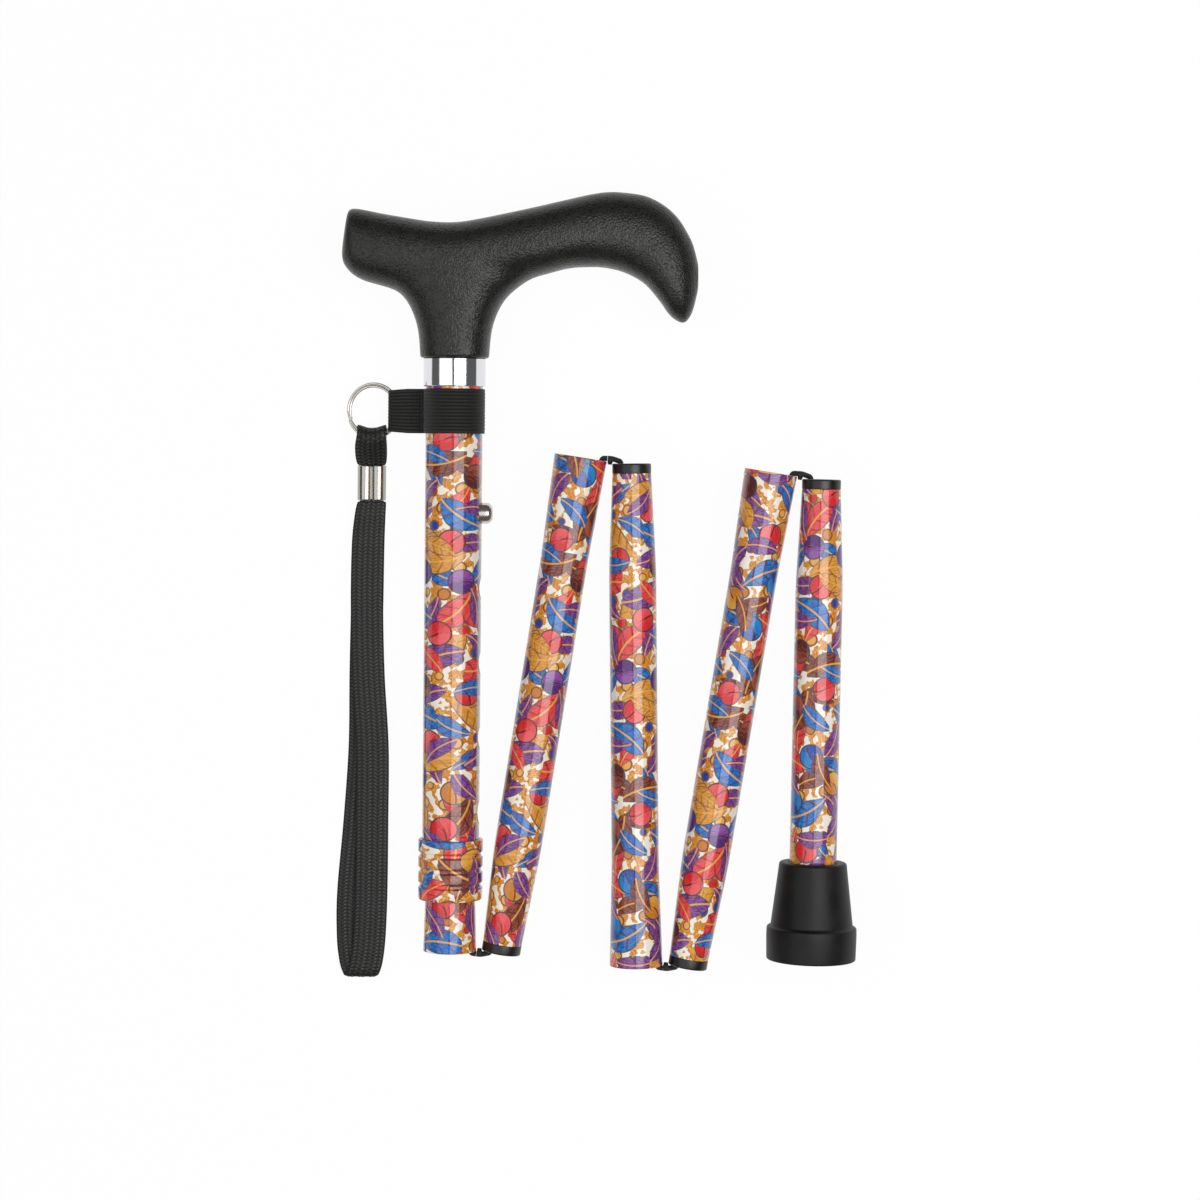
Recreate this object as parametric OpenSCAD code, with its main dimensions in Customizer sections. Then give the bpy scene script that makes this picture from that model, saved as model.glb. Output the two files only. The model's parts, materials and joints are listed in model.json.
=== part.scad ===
// Folding cane, lying folded in a zigzag on a table: +Z up, X to the right, Y towards the handle.
// The origin is on the table, under the middle of the cane without its wrist strap.
// Lengths are in millimetres.

/* [Upper tube] */
// Outside diameter of the upper tube, which carries the handle
upper_tube_d = 19.3; // [18.6:0.1:22]
// Wall of the upper tube
upper_tube_wall = 0.9; // [0.7:0.05:1]
// Number of adjusting holes in the upper tube
hole_count = 5; // [3:1:7]
// Distance between adjusting holes
hole_pitch = 25.4; // [20:0.1:26]
// Diameter of an adjusting hole
hole_d = 7.7; // [7.5:0.1:9]
// Distance from the lock collar to the lowest adjusting hole
hole_margin = 8.6; // [7:0.1:12]

/* [Lower tubes] */
// Outside diameter of the inner tube and of the four lower sections
tube_d = 16; // [15:0.1:16.4]
// Wall of the lower tubes
tube_wall = 0.9; // [0.7:0.05:1.1]
// Outside diameter of a flared mouth
mouth_d = 18; // [17.4:0.1:18.4]
// Length over which a mouth flares
flare_len = 34; // [28:0.5:40]
// Outside diameter of a necked end
necked_d = 13.2; // [12:0.1:13.6]
// Length over which an end is necked down, all of which plugs into the mouth above it
necked_len = 32; // [26:0.5:40]
// Length of sections two to four, from the cap's face to the mouth
section_len = 169.9; // [150:0.1:200]
// Length of section five, from the cap's face to the sole of the tip
last_len = 162.6; // [140:0.1:180]

/* [Fold] */
// Gap between the lock collar and the folded second section
collar_gap = 1.8; // [0.8:0.1:5]
// Lean of the third section, to the right at its top
angle_3 = -1; // [-4:0.1:1]
// Lean of the fourth section, to the right at its top
angle_4 = 9.1; // [7:0.1:14]
// Lean of the fifth section, to the right at its top
angle_5 = 0.8; // [-2:0.1:2]
// Distance from the face of a pulled-out end to the pivot of its fold
pivot_gap = 2; // [1.5:0.1:4]
// How much farther from its pivot the face of a folded cap lies
cap_back = 0.8; // [0.4:0.1:2]

/* [Handle] */
// Length of the handle from tail to nose
handle_len = 120.3; // [100:0.1:140]
// Height of the handle from the collar to its crest
handle_h = 56.7; // [50:0.1:70]
// Thickness of the handle
handle_w = 27; // [25:0.1:32]
// Distance from the tail of the handle to the tube's axis
handle_tail = 38.1; // [34:0.1:44]
// Diameter of the handle's neck at the collar
neck_d = 23.4; // [22.4:0.1:26]
// Depth of the tube's seat in the handle
handle_bore_depth = 30; // [20:0.5:34]
// Distance from the tops of the folded sections to the handle
handle_room = 30.7; // [24:0.1:60]

/* [Collar and band] */
// Diameter of the bright collar under the handle
neck_collar_d = 21.1; // [20.8:0.1:23]
// Height of the bright collar
neck_collar_h = 9.6; // [6:0.1:16]
// Printed tube that shows between the bright collar and the band
band_gap = 0.8; // [0.2:0.1:4]
// Width of the webbing band
band_w = 15.1; // [10:0.1:18]
// Thickness of one layer of webbing
band_t = 0.75; // [0.5:0.05:1]
// Distance from the tube's axis to the fold of the webbing tab
tab_reach = 24; // [22:0.1:26]
// Share of the band's width that is left at the fold
tab_fold_share = 0.92; // [0.7:0.01:0.96]
// Angle of the webbing tab below the horizontal
tab_angle = 17; // [10:0.5:22]

/* [Wrist strap] */
// Outside diameter of the split ring
ring_d = 19.6; // [18.6:0.1:20]
// Thickness of the split ring
ring_wire = 1.9; // [1.4:0.1:2.1]
// Thickness of the braided strap
strap_t = 1.9; // [1.6:0.1:2]
// Width of the crimp
crimp_w = 9.8; // [9.6:0.1:11]
// Length of the crimp
crimp_len = 12; // [8:0.1:12.4]
// Thickness of the crimp
crimp_t = 6.4; // [6.2:0.1:7]

/* [Lock collar] */
// Diameter of the lock collar
lock_d = 21.9; // [21.4:0.1:24]
// Height of the lock collar
lock_h = 20.5; // [16:0.1:24]
// Length of inner tube that shows below the lock collar at the shortest setting
lock_show = 17.5; // [14:0.1:20]
// Number of grooves round the lock collar
lock_grooves = 3; // [1:1:4]
// Depth of a groove
groove_depth = 0.45; // [0.2:0.05:0.6]
// Width of a groove
groove_w = 2; // [1:0.1:2.4]

/* [Snap button] */
// Diameter of the snap button
button_d = 7.2; // [5:0.1:7.3]
// How far the button stands out of the upper tube
button_out = 3.7; // [2:0.1:4.5]

/* [Elastic cord] */
// Diameter of the elastic cord
cord_d = 2.8; // [1.8:0.1:3]
// Visible length of an end cap
cap_len = 3.3; // [2.4:0.1:5]
// Bore of an end cap
cap_bore_d = 9.2; // [8:0.1:9.6]

/* [Rubber tip] */
// Diameter of the tip's foot
tip_d = 30.6; // [29:0.1:38]
// Diameter of the tip's cone where it meets the foot
tip_cone_d = 27.9; // [26:0.1:28.6]
// Diameter of the tip's neck
tip_neck_d = 23.2; // [21:0.1:25]
// Height of the tip
tip_h = 33; // [28:0.5:40]
// Height of the tip's foot
tip_foot_h = 11.5; // [8:0.1:14]
// Thickness of rubber below the tube
tip_sole = 8; // [6:0.1:10]
// Thickness of the steel washer in the tip
washer_t = 1.2; // [0.8:0.1:2]

/* [Hidden] */
$fn = 64;
overrun = 0.5;
// Radial room between parts that slide or turn, between parts that are fitted, and round loose parts
slide_room = 0.15;
fit_room = 0.05;
loose_room = 0.2;
cord_sides = 8;

tube_r = tube_d / 2;
tube_bore_r = tube_r - tube_wall;
mouth_r = mouth_d / 2;
mouth_bore_r = mouth_r - tube_wall;
necked_r = necked_d / 2;
upper_r = upper_tube_d / 2;
upper_bore_r = upper_r - upper_tube_wall;
cap_bore_r = cap_bore_d / 2;
cord_r = cord_d / 2;
button_r = button_d / 2;

// Heights along the first section, from the mouth of the inner tube
lock_top = lock_show + lock_h;
lock_lip = 1.7;
lock_lip_room = 0.25;
grip_ring_t = 1.5;
upper_tube_foot = lock_show + lock_lip + grip_ring_t;
hole_low = lock_top + hole_margin;
button_y = hole_low + (hole_count - 1) * hole_pitch;
neck_y = section_len + handle_room;
neck_collar_y = neck_y - neck_collar_h;
band_y = neck_collar_y - band_gap - band_w;
band_mid_y = band_y + band_w / 2;
upper_tube_top = neck_y + handle_bore_depth;
inner_tube_over = 16.6;
inner_tube_top = button_y + inner_tube_over;
guide_bush_h = 9;

// A fold pivot lies as far from the axis of the section above it as from that of the section below it
pivot_side = (mouth_d + tube_d) / 4;
// The second section leans just far enough to pass the lock collar with its necked end
passing_r = necked_r + (tube_r - necked_r) * min(1, (lock_show - cap_len) / necked_len);
collar_side = lock_d / 2 - pivot_side;
collar_rise = lock_show + pivot_gap;
collar_reach = norm([collar_side, collar_rise]);
angle_2 = acos((pivot_side - passing_r - collar_gap) / collar_reach) - atan2(collar_rise, collar_side);

// A heading is the way from a section's upper end to its mouth, clockwise from +Y
HEADINGS = [180, angle_2, 180 + angle_3, angle_4, 180 + angle_5];
LENGTHS = [0, section_len, section_len, section_len, last_len];
// The way the cord turns at each fold: -1 to the left, 1 to the right
TURNS = [-1, 1, -1, 1];
function along(a) = [sin(a), cos(a)];
function right_of(a) = [cos(a), -sin(a)];
function pivot_at(k) = mouth_at(k)
  + pivot_gap * along(HEADINGS[k]) + TURNS[k] * pivot_side * right_of(HEADINGS[k]);
function face_at(k) = k == 0 ? [0, 0]
  : pivot_at(k - 1) + (pivot_gap + cap_back) * along(HEADINGS[k])
    - TURNS[k - 1] * pivot_side * right_of(HEADINGS[k]);
function mouth_at(k) = face_at(k) + LENGTHS[k] * along(HEADINGS[k]);

// The cane's box, from which the origin is set
axis_z = tip_d / 2;
cord_drop = cord_d + loose_room;
box_left = -handle_tail;
box_right = mouth_at(4)[0] + axis_z;
box_top = neck_y + handle_h;
box_bottom = mouth_at(2)[1] - cord_drop;
origin = [(box_left + box_right) / 2, (box_bottom + box_top) / 2];

// Sections of the handle from tail to nose: place along it, underside, top and thickness
grip_shares = [
  [0, 0.575, 0.66, 0.42], [0.005, 0.55, 0.745, 0.58], [0.01, 0.535, 0.82, 0.68], [0.016, 0.52, 0.876, 0.75],
  [0.03, 0.492, 0.888, 0.82], [0.06, 0.457, 0.881, 0.87], [0.1, 0.433, 0.864, 0.91],
  [0.17, 0.397, 0.839, 0.95], [0.25, 0.397, 0.815, 0.98], [0.32, 0.403, 0.813, 1], [0.39, 0.43, 0.837, 1],
  [0.465, 0.457, 0.871, 1],
  [0.545, 0.49, 0.909, 1], [0.63, 0.54, 0.952, 0.99], [0.7, 0.552, 0.986, 0.97], [0.75, 0.544, 1, 0.95],
  [0.8, 0.514, 0.995, 0.93], [0.85, 0.453, 0.978, 0.9], [0.89, 0.357, 0.94, 0.87], [0.92, 0.27, 0.895, 0.83],
  [0.945, 0.23, 0.84, 0.77], [0.965, 0.226, 0.775, 0.68], [0.985, 0.29, 0.69, 0.52], [1, 0.42, 0.57, 0.3]
];
// Sections of the handle's neck from the collar up: height, half width and half thickness
neck_shares = [
  [0, 1, 1], [0.05, 1.01, 1], [0.14, 1.05, 1.01], [0.2, 1.11, 1.03], [0.25, 1.19, 1.05], [0.3, 1.3, 1.07],
  [0.35, 1.44, 1.09], [0.4, 1.68, 1.11], [0.44, 1.92, 1.12], [0.475, 2.17, 1.13], [0.5, 2.3, 1.13],
  [0.55, 2.05, 1.15], [0.62, 1.5, 1.15]
];
ring_sides = 24;
grip_square_share = 0.86;
neck_square_share = 0.94;

// The strap's route from the tube's axis, the band and the table, with its width and its tilt at each point:
// down on the upper layer, round the end, back on the lower layer and over the split ring
strap_route = [
  [-28.6, -18.5, 4.2, 7.6, 0], [-28.6, -31, 4.2, 7.6, 0], [-29.1, -36, 4, 10.2, 0],
  [-29.7, -46, 3.6, 11.1, 0], [-29.9, -66, 3.5, 11.1, 0], [-29.2, -90, 3.5, 11.1, 0],
  [-27.6, -115, 3.5, 11.1, 0],
  [-27.5, -140, 3.5, 11.1, 0], [-27.6, -165, 3.5, 11.1, 0], [-28.1, -180, 3.5, 11.1, 0],
  [-28.9, -187.8, 3.5, 11.1, 0], [-29.9, -191.8, 3.3, 11.1, 0], [-31, -193.2, 2.3, 11.1, 0],
  [-32.1, -191.8, 1.3, 11.1, 0], [-33.1, -187.8, 1.1, 11.1, 0], [-33.9, -180, 1.1, 11.1, 0],
  [-33.9, -165, 1.1, 11.1, 0], [-31.9, -140, 1.1, 11.1, 0], [-30.4, -115, 1.1, 11.1, 0],
  [-30.3, -90, 1.1, 11.1, 0], [-30, -66, 1.1, 11.1, 0], [-29.8, -46, 1.2, 11.1, 0],
  [-29.2, -36, 1.7, 10.2, 0], [-28.6, -31, 2.2, 7.6, 0], [-28.6, -18.5, 2.2, 7.6, 0],
  [-28.8, -15.5, 2.6, 10.2, 5], [-28.8, -12.4, 3.4, 10.9, 12], [-28.6, -10.4, 4.1, 10.3, 16],
  [-28.5, -8.9, 4.3, 10, 17], [-28.5, -7.3, 5, 10, 17], [-28.5, -6.4, 6.6, 10, 17],
  [-28.5, -7.3, 8.2, 10, 17], [-28.5, -8.9, 8.9, 10, 17], [-28.6, -10.4, 8.7, 10.3, 16],
  [-28.8, -12.4, 7.4, 10.9, 12], [-28.8, -15.5, 5.6, 10.2, 5]
];
// The strap's edges lie nearer the band than its middle where it follows the ring's curve
strap_bow = 2.2;
bow_none_y = -15;
bow_full_y = -9.6;
strap_round_share = 0.7;
crimp_at = [-28.6, -18.6, 3.2];
crimp_slot = [8, 4.2];

module place_first() {
  translate([-origin[0], -origin[1], axis_z]) rotate([-90, 0, 0]) children();
}

module place_section(k) {
  at = face_at(k) - origin;
  translate([at[0], at[1], axis_z]) rotate([0, 0, -HEADINGS[k]]) rotate([-90, 0, 0]) children();
}

module place_tab() {
  translate([-origin[0], band_mid_y - origin[1], axis_z]) rotate([0, -tab_angle, 0]) children();
}

// A closed skin over rings of points
module skin(rings, joined = false) {
  n = len(rings[0]);
  count = len(rings);
  points = [for (ring = rings) each ring];
  sides = [
    for (i = [0 : count - (joined ? 1 : 2)]) let (a = i * n, b = (i + 1) % count * n)
      for (j = [0 : n - 1]) let (m = (j + 1) % n)
        each [[a + j, a + m, b + j], [a + m, b + m, b + j]]
  ];
  last = (count - 1) * n;
  ends = [for (j = [1 : n - 2]) each [[0, j + 1, j], [last, last + j, last + j + 1]]];
  polyhedron(points, joined ? sides : concat(sides, ends));
}

module ring_of(outer, inner, height) {
  rotate_extrude() translate([inner, 0]) square([outer - inner, height]);
}

function ellipse_ring(half_a, half_b, power) = [
  for (j = [0 : ring_sides - 1]) let (t = j * 360 / ring_sides)
    [half_a * sign(cos(t)) * pow(abs(cos(t)), power), half_b * sign(sin(t)) * pow(abs(sin(t)), power)]
];

function grip_rings() = [
  for (s = grip_shares) let (low = s[1] * handle_h, high = s[2] * handle_h)
    [for (p = ellipse_ring((high - low) / 2, s[3] * handle_w / 2, grip_square_share))
      [s[0] * handle_len - handle_tail, p[1], (low + high) / 2 + p[0]]]
];

function neck_rings() = [
  for (s = neck_shares)
    [for (p = ellipse_ring(s[1] * neck_d / 2, s[2] * neck_d / 2, neck_square_share))
      [p[0], -p[1], s[0] * handle_h]]
];

module handle_grip() {
  color("#1b1b1c") place_first() translate([0, 0, neck_y]) difference() {
    union() {
      skin(grip_rings());
      skin(neck_rings());
    }
    translate([0, 0, -overrun]) cylinder(r = upper_r + fit_room, h = handle_bore_depth + overrun + fit_room);
  }
}

module neck_collar() {
  color("#c9ccd1") place_first() translate([0, 0, neck_collar_y])
    ring_of(neck_collar_d / 2, upper_r + fit_room, neck_collar_h);
}

module upper_tube() {
  color("#c79a3b") place_first() difference() {
    translate([0, 0, upper_tube_foot]) ring_of(upper_r, upper_bore_r, upper_tube_top - upper_tube_foot);
    for (i = [0 : hole_count - 1])
      translate([0, 0, hole_low + i * hole_pitch]) rotate([0, 90, 0])
        cylinder(d = hole_d, h = upper_r + overrun);
  }
}

module grip_ring() {
  color("#3a3a3c") place_first() translate([0, 0, lock_show + lock_lip])
    ring_of(upper_r - fit_room, flare_r(lock_show) + lock_lip_room, grip_ring_t - fit_room);
}

module lock_collar() {
  step = lock_h / (lock_grooves + 1);
  color("#b9873a") place_first() translate([0, 0, lock_show]) difference() {
    cylinder(d = lock_d, h = lock_h);
    translate([0, 0, lock_lip - fit_room]) cylinder(r = upper_r + slide_room, h = lock_h);
    translate([0, 0, -overrun]) cylinder(r = flare_r(lock_show) + lock_lip_room, h = lock_h);
    for (i = [1 : lock_grooves])
      translate([0, 0, i * step - groove_w / 2])
        ring_of(lock_d / 2 + overrun, lock_d / 2 - groove_depth, groove_w);
  }
}

// The radius of a flared tube at a distance from its mouth
function flare_r(z) = tube_r + (mouth_r - tube_r) * max(0, 1 - z / flare_len);

module strap_band() {
  color("#161617") place_first() translate([0, 0, band_y])
    ring_of(upper_r + band_t + fit_room, upper_r + fit_room, band_w);
}

// The doubled webbing from its stitched root to the fold that holds the split ring
tab_root = upper_r + 2 * band_t + loose_room + fit_room;
pocket_r = ring_wire / 2 + slide_room;
pocket_share = 2.6;
pocket_len = pocket_share * ring_wire;
tab_fold_r = pocket_r + band_t;
tab_fold_x = -tab_reach + tab_fold_r;
pocket_x = tab_fold_x + pocket_len;

module tab_layers() {
  rotate([90, 0, 0]) translate([0, 0, -band_w / 2]) difference() {
    union() {
      translate([-tab_root, 0, 0]) cylinder(r = band_t, h = band_w);
      translate([tab_fold_x, 0, 0]) cylinder(r = tab_fold_r, h = band_w);
      linear_extrude(band_w)
        polygon([[tab_fold_x, tab_fold_r], [pocket_x, tab_fold_r], [-tab_root, band_t],
                 [-tab_root, -band_t], [pocket_x, -tab_fold_r], [tab_fold_x, -tab_fold_r]]);
    }
    translate([tab_fold_x, 0, -overrun]) cylinder(r = pocket_r, h = band_w + 2 * overrun);
    translate([tab_fold_x, -pocket_r, -overrun]) cube([pocket_len, 2 * pocket_r, band_w + 2 * overrun]);
  }
}

// What is cut off each side so that the tab narrows towards its fold
module tab_trim() {
  half = band_w / 2;
  narrow = half * (1 - tab_fold_share);
  from_x = -tab_reach + pocket_len;
  to_x = -tab_reach - overrun;
  translate([0, 0, -half]) linear_extrude(band_w)
    polygon([[from_x, half + overrun], [from_x, half], [to_x, half - narrow], [to_x, half + overrun]]);
}

// The ring's centre lies beyond the fold, so that its wire presses into the fold's corners
ring_r = (ring_d - ring_wire) / 2;
ring_beyond_share = 0.6;
ring_x = -tab_reach - ring_beyond_share * ring_r;
wire_sides = 32;

module ring_wire_at(wire_r) {
  translate([ring_x, 0, 0]) rotate_extrude() translate([ring_r, 0]) circle(r = wire_r, $fn = wire_sides);
}

module strap_tab() {
  color("#161617") place_tab() difference() {
    tab_layers();
    tab_trim();
    mirror([0, 1, 0]) tab_trim();
    ring_wire_at(ring_wire / 2 + slide_room);
  }
}

module strap_ring() {
  color("#c4c7cc") place_tab() ring_wire_at(ring_wire / 2);
}

function strap_ring_at(i) = let (
  n = len(strap_route), p = strap_route[i], q = strap_route[(i + 1) % n], o = strap_route[(i + n - 1) % n],
  wide = [cos(p[4]), 0, sin(p[4])], across = unit(cross([0, q[1] - o[1], q[2] - o[2]], wide)),
  half = p[3] / 2, thick = strap_t / 2, soft = thick * strap_round_share,
  bow = strap_bow * min(1, max(0, (p[1] - bow_none_y) / (bow_full_y - bow_none_y)))
) [
  for (c = [[half - soft, thick], [half, thick - soft], [half, soft - thick], [half - soft, -thick],
            [half / 2, -thick], [0, -thick], [-half / 2, -thick],
            [soft - half, -thick], [-half, soft - thick], [-half, thick - soft], [soft - half, thick],
            [-half / 2, thick], [0, thick], [half / 2, thick]])
    [p[0] - origin[0], p[1] + band_mid_y - origin[1] + bow * pow(c[0] / half, 2), p[2]]
      + c[0] * wide + c[1] * across
];

module wrist_strap() {
  color("#121213") skin([for (i = [0 : len(strap_route) - 1]) strap_ring_at(i)], joined = true);
}

module strap_crimp() {
  lobe_x = crimp_w / 2 - crimp_t / 2;
  web_t = crimp_slot[1] + 2 * fit_room;
  color("#c4c7cc") translate([crimp_at[0] - origin[0], band_mid_y + crimp_at[1] - origin[1], crimp_at[2]])
    rotate([90, 0, 0]) difference() {
      union() {
        for (side = [-1, 1]) translate([side * lobe_x, 0, 0]) cylinder(d = crimp_t, h = crimp_len);
        translate([-lobe_x, -web_t / 2, 0]) cube([2 * lobe_x, web_t, crimp_len]);
      }
      translate([-crimp_slot[0] / 2, -crimp_slot[1] / 2, -overrun])
        cube([crimp_slot[0], crimp_slot[1], crimp_len + 2 * overrun]);
    }
}

// Outline of a lower tube's wall, from its necked face to its flared mouth
module necked_wall(length, flared) {
  flare_z = length - flare_len;
  tail = flared ? [[tube_r, flare_z], [mouth_r, length], [mouth_bore_r, length], [tube_bore_r, flare_z]]
                : [[tube_r, length], [tube_bore_r, length]];
  polygon(concat([[necked_r - tube_wall, cap_len], [necked_r, cap_len], [tube_r, cap_len + necked_len]], tail,
                 [[tube_bore_r, cap_len + necked_len]]));
}

module lower_tube(k, length, flared) {
  color("#c79a3b") place_section(k) rotate_extrude() necked_wall(length, flared);
}

module inner_tube() {
  color("#c79a3b") place_first() difference() {
    rotate_extrude()
      polygon([[mouth_bore_r, 0], [mouth_r, 0], [tube_r, flare_len], [tube_r, inner_tube_top],
               [tube_bore_r, inner_tube_top], [tube_bore_r, flare_len]]);
    translate([0, 0, button_y]) rotate([0, 90, 0]) cylinder(d = hole_d, h = upper_r);
  }
}

module guide_bush() {
  color("#2c2c2e") place_first() translate([0, 0, inner_tube_top - guide_bush_h])
    ring_of(upper_bore_r - slide_room, tube_r, guide_bush_h);
}

// The snap button on its leaf spring
flange_share = 1.22;
button_flange_r = flange_share * button_r;
flange_t = 1;
flange_x = sqrt(pow(tube_bore_r, 2) - pow(button_flange_r, 2)) - loose_room;
button_tip_x = upper_r + button_out;
dome_h = button_r / 2;
dome_r = (pow(button_r, 2) + pow(dome_h, 2)) / (2 * dome_h);
leaf_t = 0.6;
leaf_share = 0.8;
leaf_w = leaf_share * button_d;
leaf_drop = 24;
leaf_over = button_flange_r;

module snap_button() {
  stem_x = flange_x - flange_t / 2;
  color("#d0d3d7") place_first() translate([0, 0, button_y]) rotate([0, 90, 0]) {
    translate([0, 0, flange_x - flange_t]) cylinder(r = button_flange_r, h = flange_t);
    translate([0, 0, stem_x]) cylinder(r = button_r, h = button_tip_x - dome_h - stem_x);
    intersection() {
      translate([0, 0, button_tip_x - dome_r]) sphere(r = dome_r);
      translate([0, 0, button_tip_x - dome_h - fit_room]) cylinder(r = button_r, h = dome_h + overrun);
    }
  }
}

module leaf(from, to) {
  back = [sign(to[0]) * leaf_t, 0];
  linear_extrude(leaf_w) polygon([from, to, to - back, from - back]);
}

module button_spring() {
  front_x = flange_x - flange_t - fit_room;
  back_x = -sqrt(pow(tube_bore_r, 2) - pow(leaf_w / 2, 2)) + fit_room;
  root = [0, -leaf_drop];
  color("#8d9095") place_first() translate([0, 0, button_y]) rotate([90, 0, 0]) translate([0, 0, -leaf_w / 2])
    union() {
      leaf(root + [leaf_t / 2, 0], [front_x, leaf_over]);
      leaf(root - [leaf_t / 2, 0], [back_x, leaf_over]);
      translate(root) cylinder(r = leaf_t, h = leaf_w);
    }
}

// The cord's anchors and its places in a mouth and in a cap
anchor_h = 8;
anchor_y = button_y - leaf_drop - 2 * leaf_t - anchor_h;
mouth_cord_x = mouth_bore_r - cord_r - loose_room;
cap_cord_x = cap_bore_r - cord_r - loose_room;
cord_in = 3;
foot_plug_h = 10;
tube_foot = last_len - tip_sole - washer_t;
foot_plug_z = tube_foot - foot_plug_h;

module cord_anchor() {
  color("#2c2c2e") place_first() translate([0, 0, anchor_y])
    cylinder(r = tube_bore_r - fit_room, h = anchor_h);
}

module foot_plug() {
  color("#2c2c2e") place_section(4) translate([0, 0, foot_plug_z])
    cylinder(r = tube_bore_r - fit_room, h = foot_plug_h);
}

function cord_ring(at, side, up) = [
  for (j = [0 : cord_sides - 1]) let (t = j * 360 / cord_sides) at + cord_r * (cos(t) * side + sin(t) * up)
];

// A straight run of cord inside one section, in that section's own frame
module cord_run(from_x, from_z, to_x, to_z) {
  color("#202022") skin([
    for (p = [[from_x, 0, from_z], [to_x, 0, to_z]]) cord_ring(p, [1, 0, 0], [0, -1, 0])
  ]);
}

module cord_first() {
  place_first() cord_run(-TURNS[0] * mouth_cord_x, cord_in, 0, anchor_y);
}

module cord_inside(k, length) {
  place_section(k) cord_run(TURNS[k - 1] * cap_cord_x, cord_in, TURNS[k] * mouth_cord_x, length - cord_in);
}

module cord_last() {
  place_section(4) cord_run(TURNS[3] * cap_cord_x, cord_in, 0, foot_plug_z);
}

// The cord's bend over the rims of a mouth and a cap: the corners that it passes and the ways out from them
bend_steps = 4;
function unit(v) = v / norm(v);
function mouth_corner(k) = mouth_at(k) + TURNS[k] * mouth_bore_r * right_of(HEADINGS[k]);
function cap_corner(k) = face_at(k + 1) + TURNS[k] * cap_bore_r * right_of(HEADINGS[k + 1]);
function bend_out(k) = let (run = unit(cap_corner(k) - mouth_corner(k))) -TURNS[k] * [run[1], -run[0]];
function bend_station(corner, way, shift) = [corner + (cord_r + loose_room) * way + shift - origin, way];
function bend_stations(k) = let (
  a = -TURNS[k] * right_of(HEADINGS[k]), b = bend_out(k), c = -TURNS[k] * right_of(HEADINGS[k + 1])
) concat(
  [bend_station(mouth_corner(k), a, -cord_in * along(HEADINGS[k]))],
  [for (i = [0 : bend_steps]) bend_station(mouth_corner(k), unit(a + (b - a) * i / bend_steps), [0, 0])],
  [for (i = [0 : bend_steps]) bend_station(cap_corner(k), unit(b + (c - b) * i / bend_steps), [0, 0])],
  [bend_station(cap_corner(k), c, cord_in * along(HEADINGS[k + 1]))]
);

module cord_bend(k) {
  color("#202022") skin([
    for (s = bend_stations(k))
      cord_ring([s[0][0], s[0][1], axis_z], [s[1][0], s[1][1], 0], [0, 0, -TURNS[k]])
  ]);
}

cap_spigot_len = 8;

module end_cap(k) {
  color("#19191a") place_section(k) {
    ring_of(necked_r, cap_bore_r, cap_len);
    translate([0, 0, cap_len]) ring_of(necked_r - tube_wall - fit_room, cap_bore_r, cap_spigot_len);
  }
}

tip_lip_h = 1.6;
tip_step_h = 1.2;
sole_groove_depth = 1.2;
sole_groove_w = 1.6;
sole_groove_shares = [0.5, 0.75];

module rubber_tip() {
  bore_r = tube_r + fit_room;
  neck_r = tip_neck_d / 2;
  foot_r = tip_d / 2;
  seat_z = last_len - tip_sole;
  top_z = last_len - tip_h;
  foot_z = last_len - tip_foot_h;
  color("#1a1a1b") place_section(4) difference() {
    rotate_extrude()
      polygon([[0, seat_z], [bore_r, seat_z], [bore_r, top_z], [neck_r - tip_lip_h / 2, top_z],
               [neck_r, top_z + tip_lip_h], [tip_cone_d / 2, foot_z], [foot_r, foot_z + tip_step_h],
               [foot_r, last_len - tip_step_h], [foot_r - tip_step_h, last_len], [0, last_len]]);
    for (share = sole_groove_shares)
      translate([0, 0, last_len - sole_groove_depth])
        ring_of(share * foot_r + sole_groove_w, share * foot_r, sole_groove_depth + overrun);
  }
}

module tip_washer() {
  color("#9a9da2") place_section(4) translate([0, 0, tube_foot]) cylinder(r = tube_r, h = washer_t);
}

handle_grip();
neck_collar();
upper_tube();
grip_ring();
lock_collar();
strap_band();
strap_tab();
strap_ring();
strap_crimp();
wrist_strap();
inner_tube();
guide_bush();
snap_button();
button_spring();
cord_anchor();
cord_first();  // cord_1
cord_bend(0);  // cord_bend_a
lower_tube(1, section_len, true);  // tube_2
end_cap(1);  // end_cap_2
cord_inside(1, section_len);  // cord_2
cord_bend(1);  // cord_bend_b
lower_tube(2, section_len, true);  // tube_3
end_cap(2);  // end_cap_3
cord_inside(2, section_len);  // cord_3
cord_bend(2);  // cord_bend_c
lower_tube(3, section_len, true);  // tube_4
end_cap(3);  // end_cap_4
cord_inside(3, section_len);  // cord_4
cord_bend(3);  // cord_bend_d
lower_tube(4, tube_foot, false);  // tube_5
end_cap(4);  // end_cap_5
cord_last();  // cord_5
foot_plug();
rubber_tip();
tip_washer();

// Where the fold pivots are, from the origin
echo(pivots = [for (k = [0 : 3]) pivot_at(k) - origin]);
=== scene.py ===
"""A folding cane, folded in a zigzag on a table: finishes, soft parts, camera and light over the frame."""
import json
import math
from itertools import product

import bmesh
import bpy
from mathutils import Matrix, Vector


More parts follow.
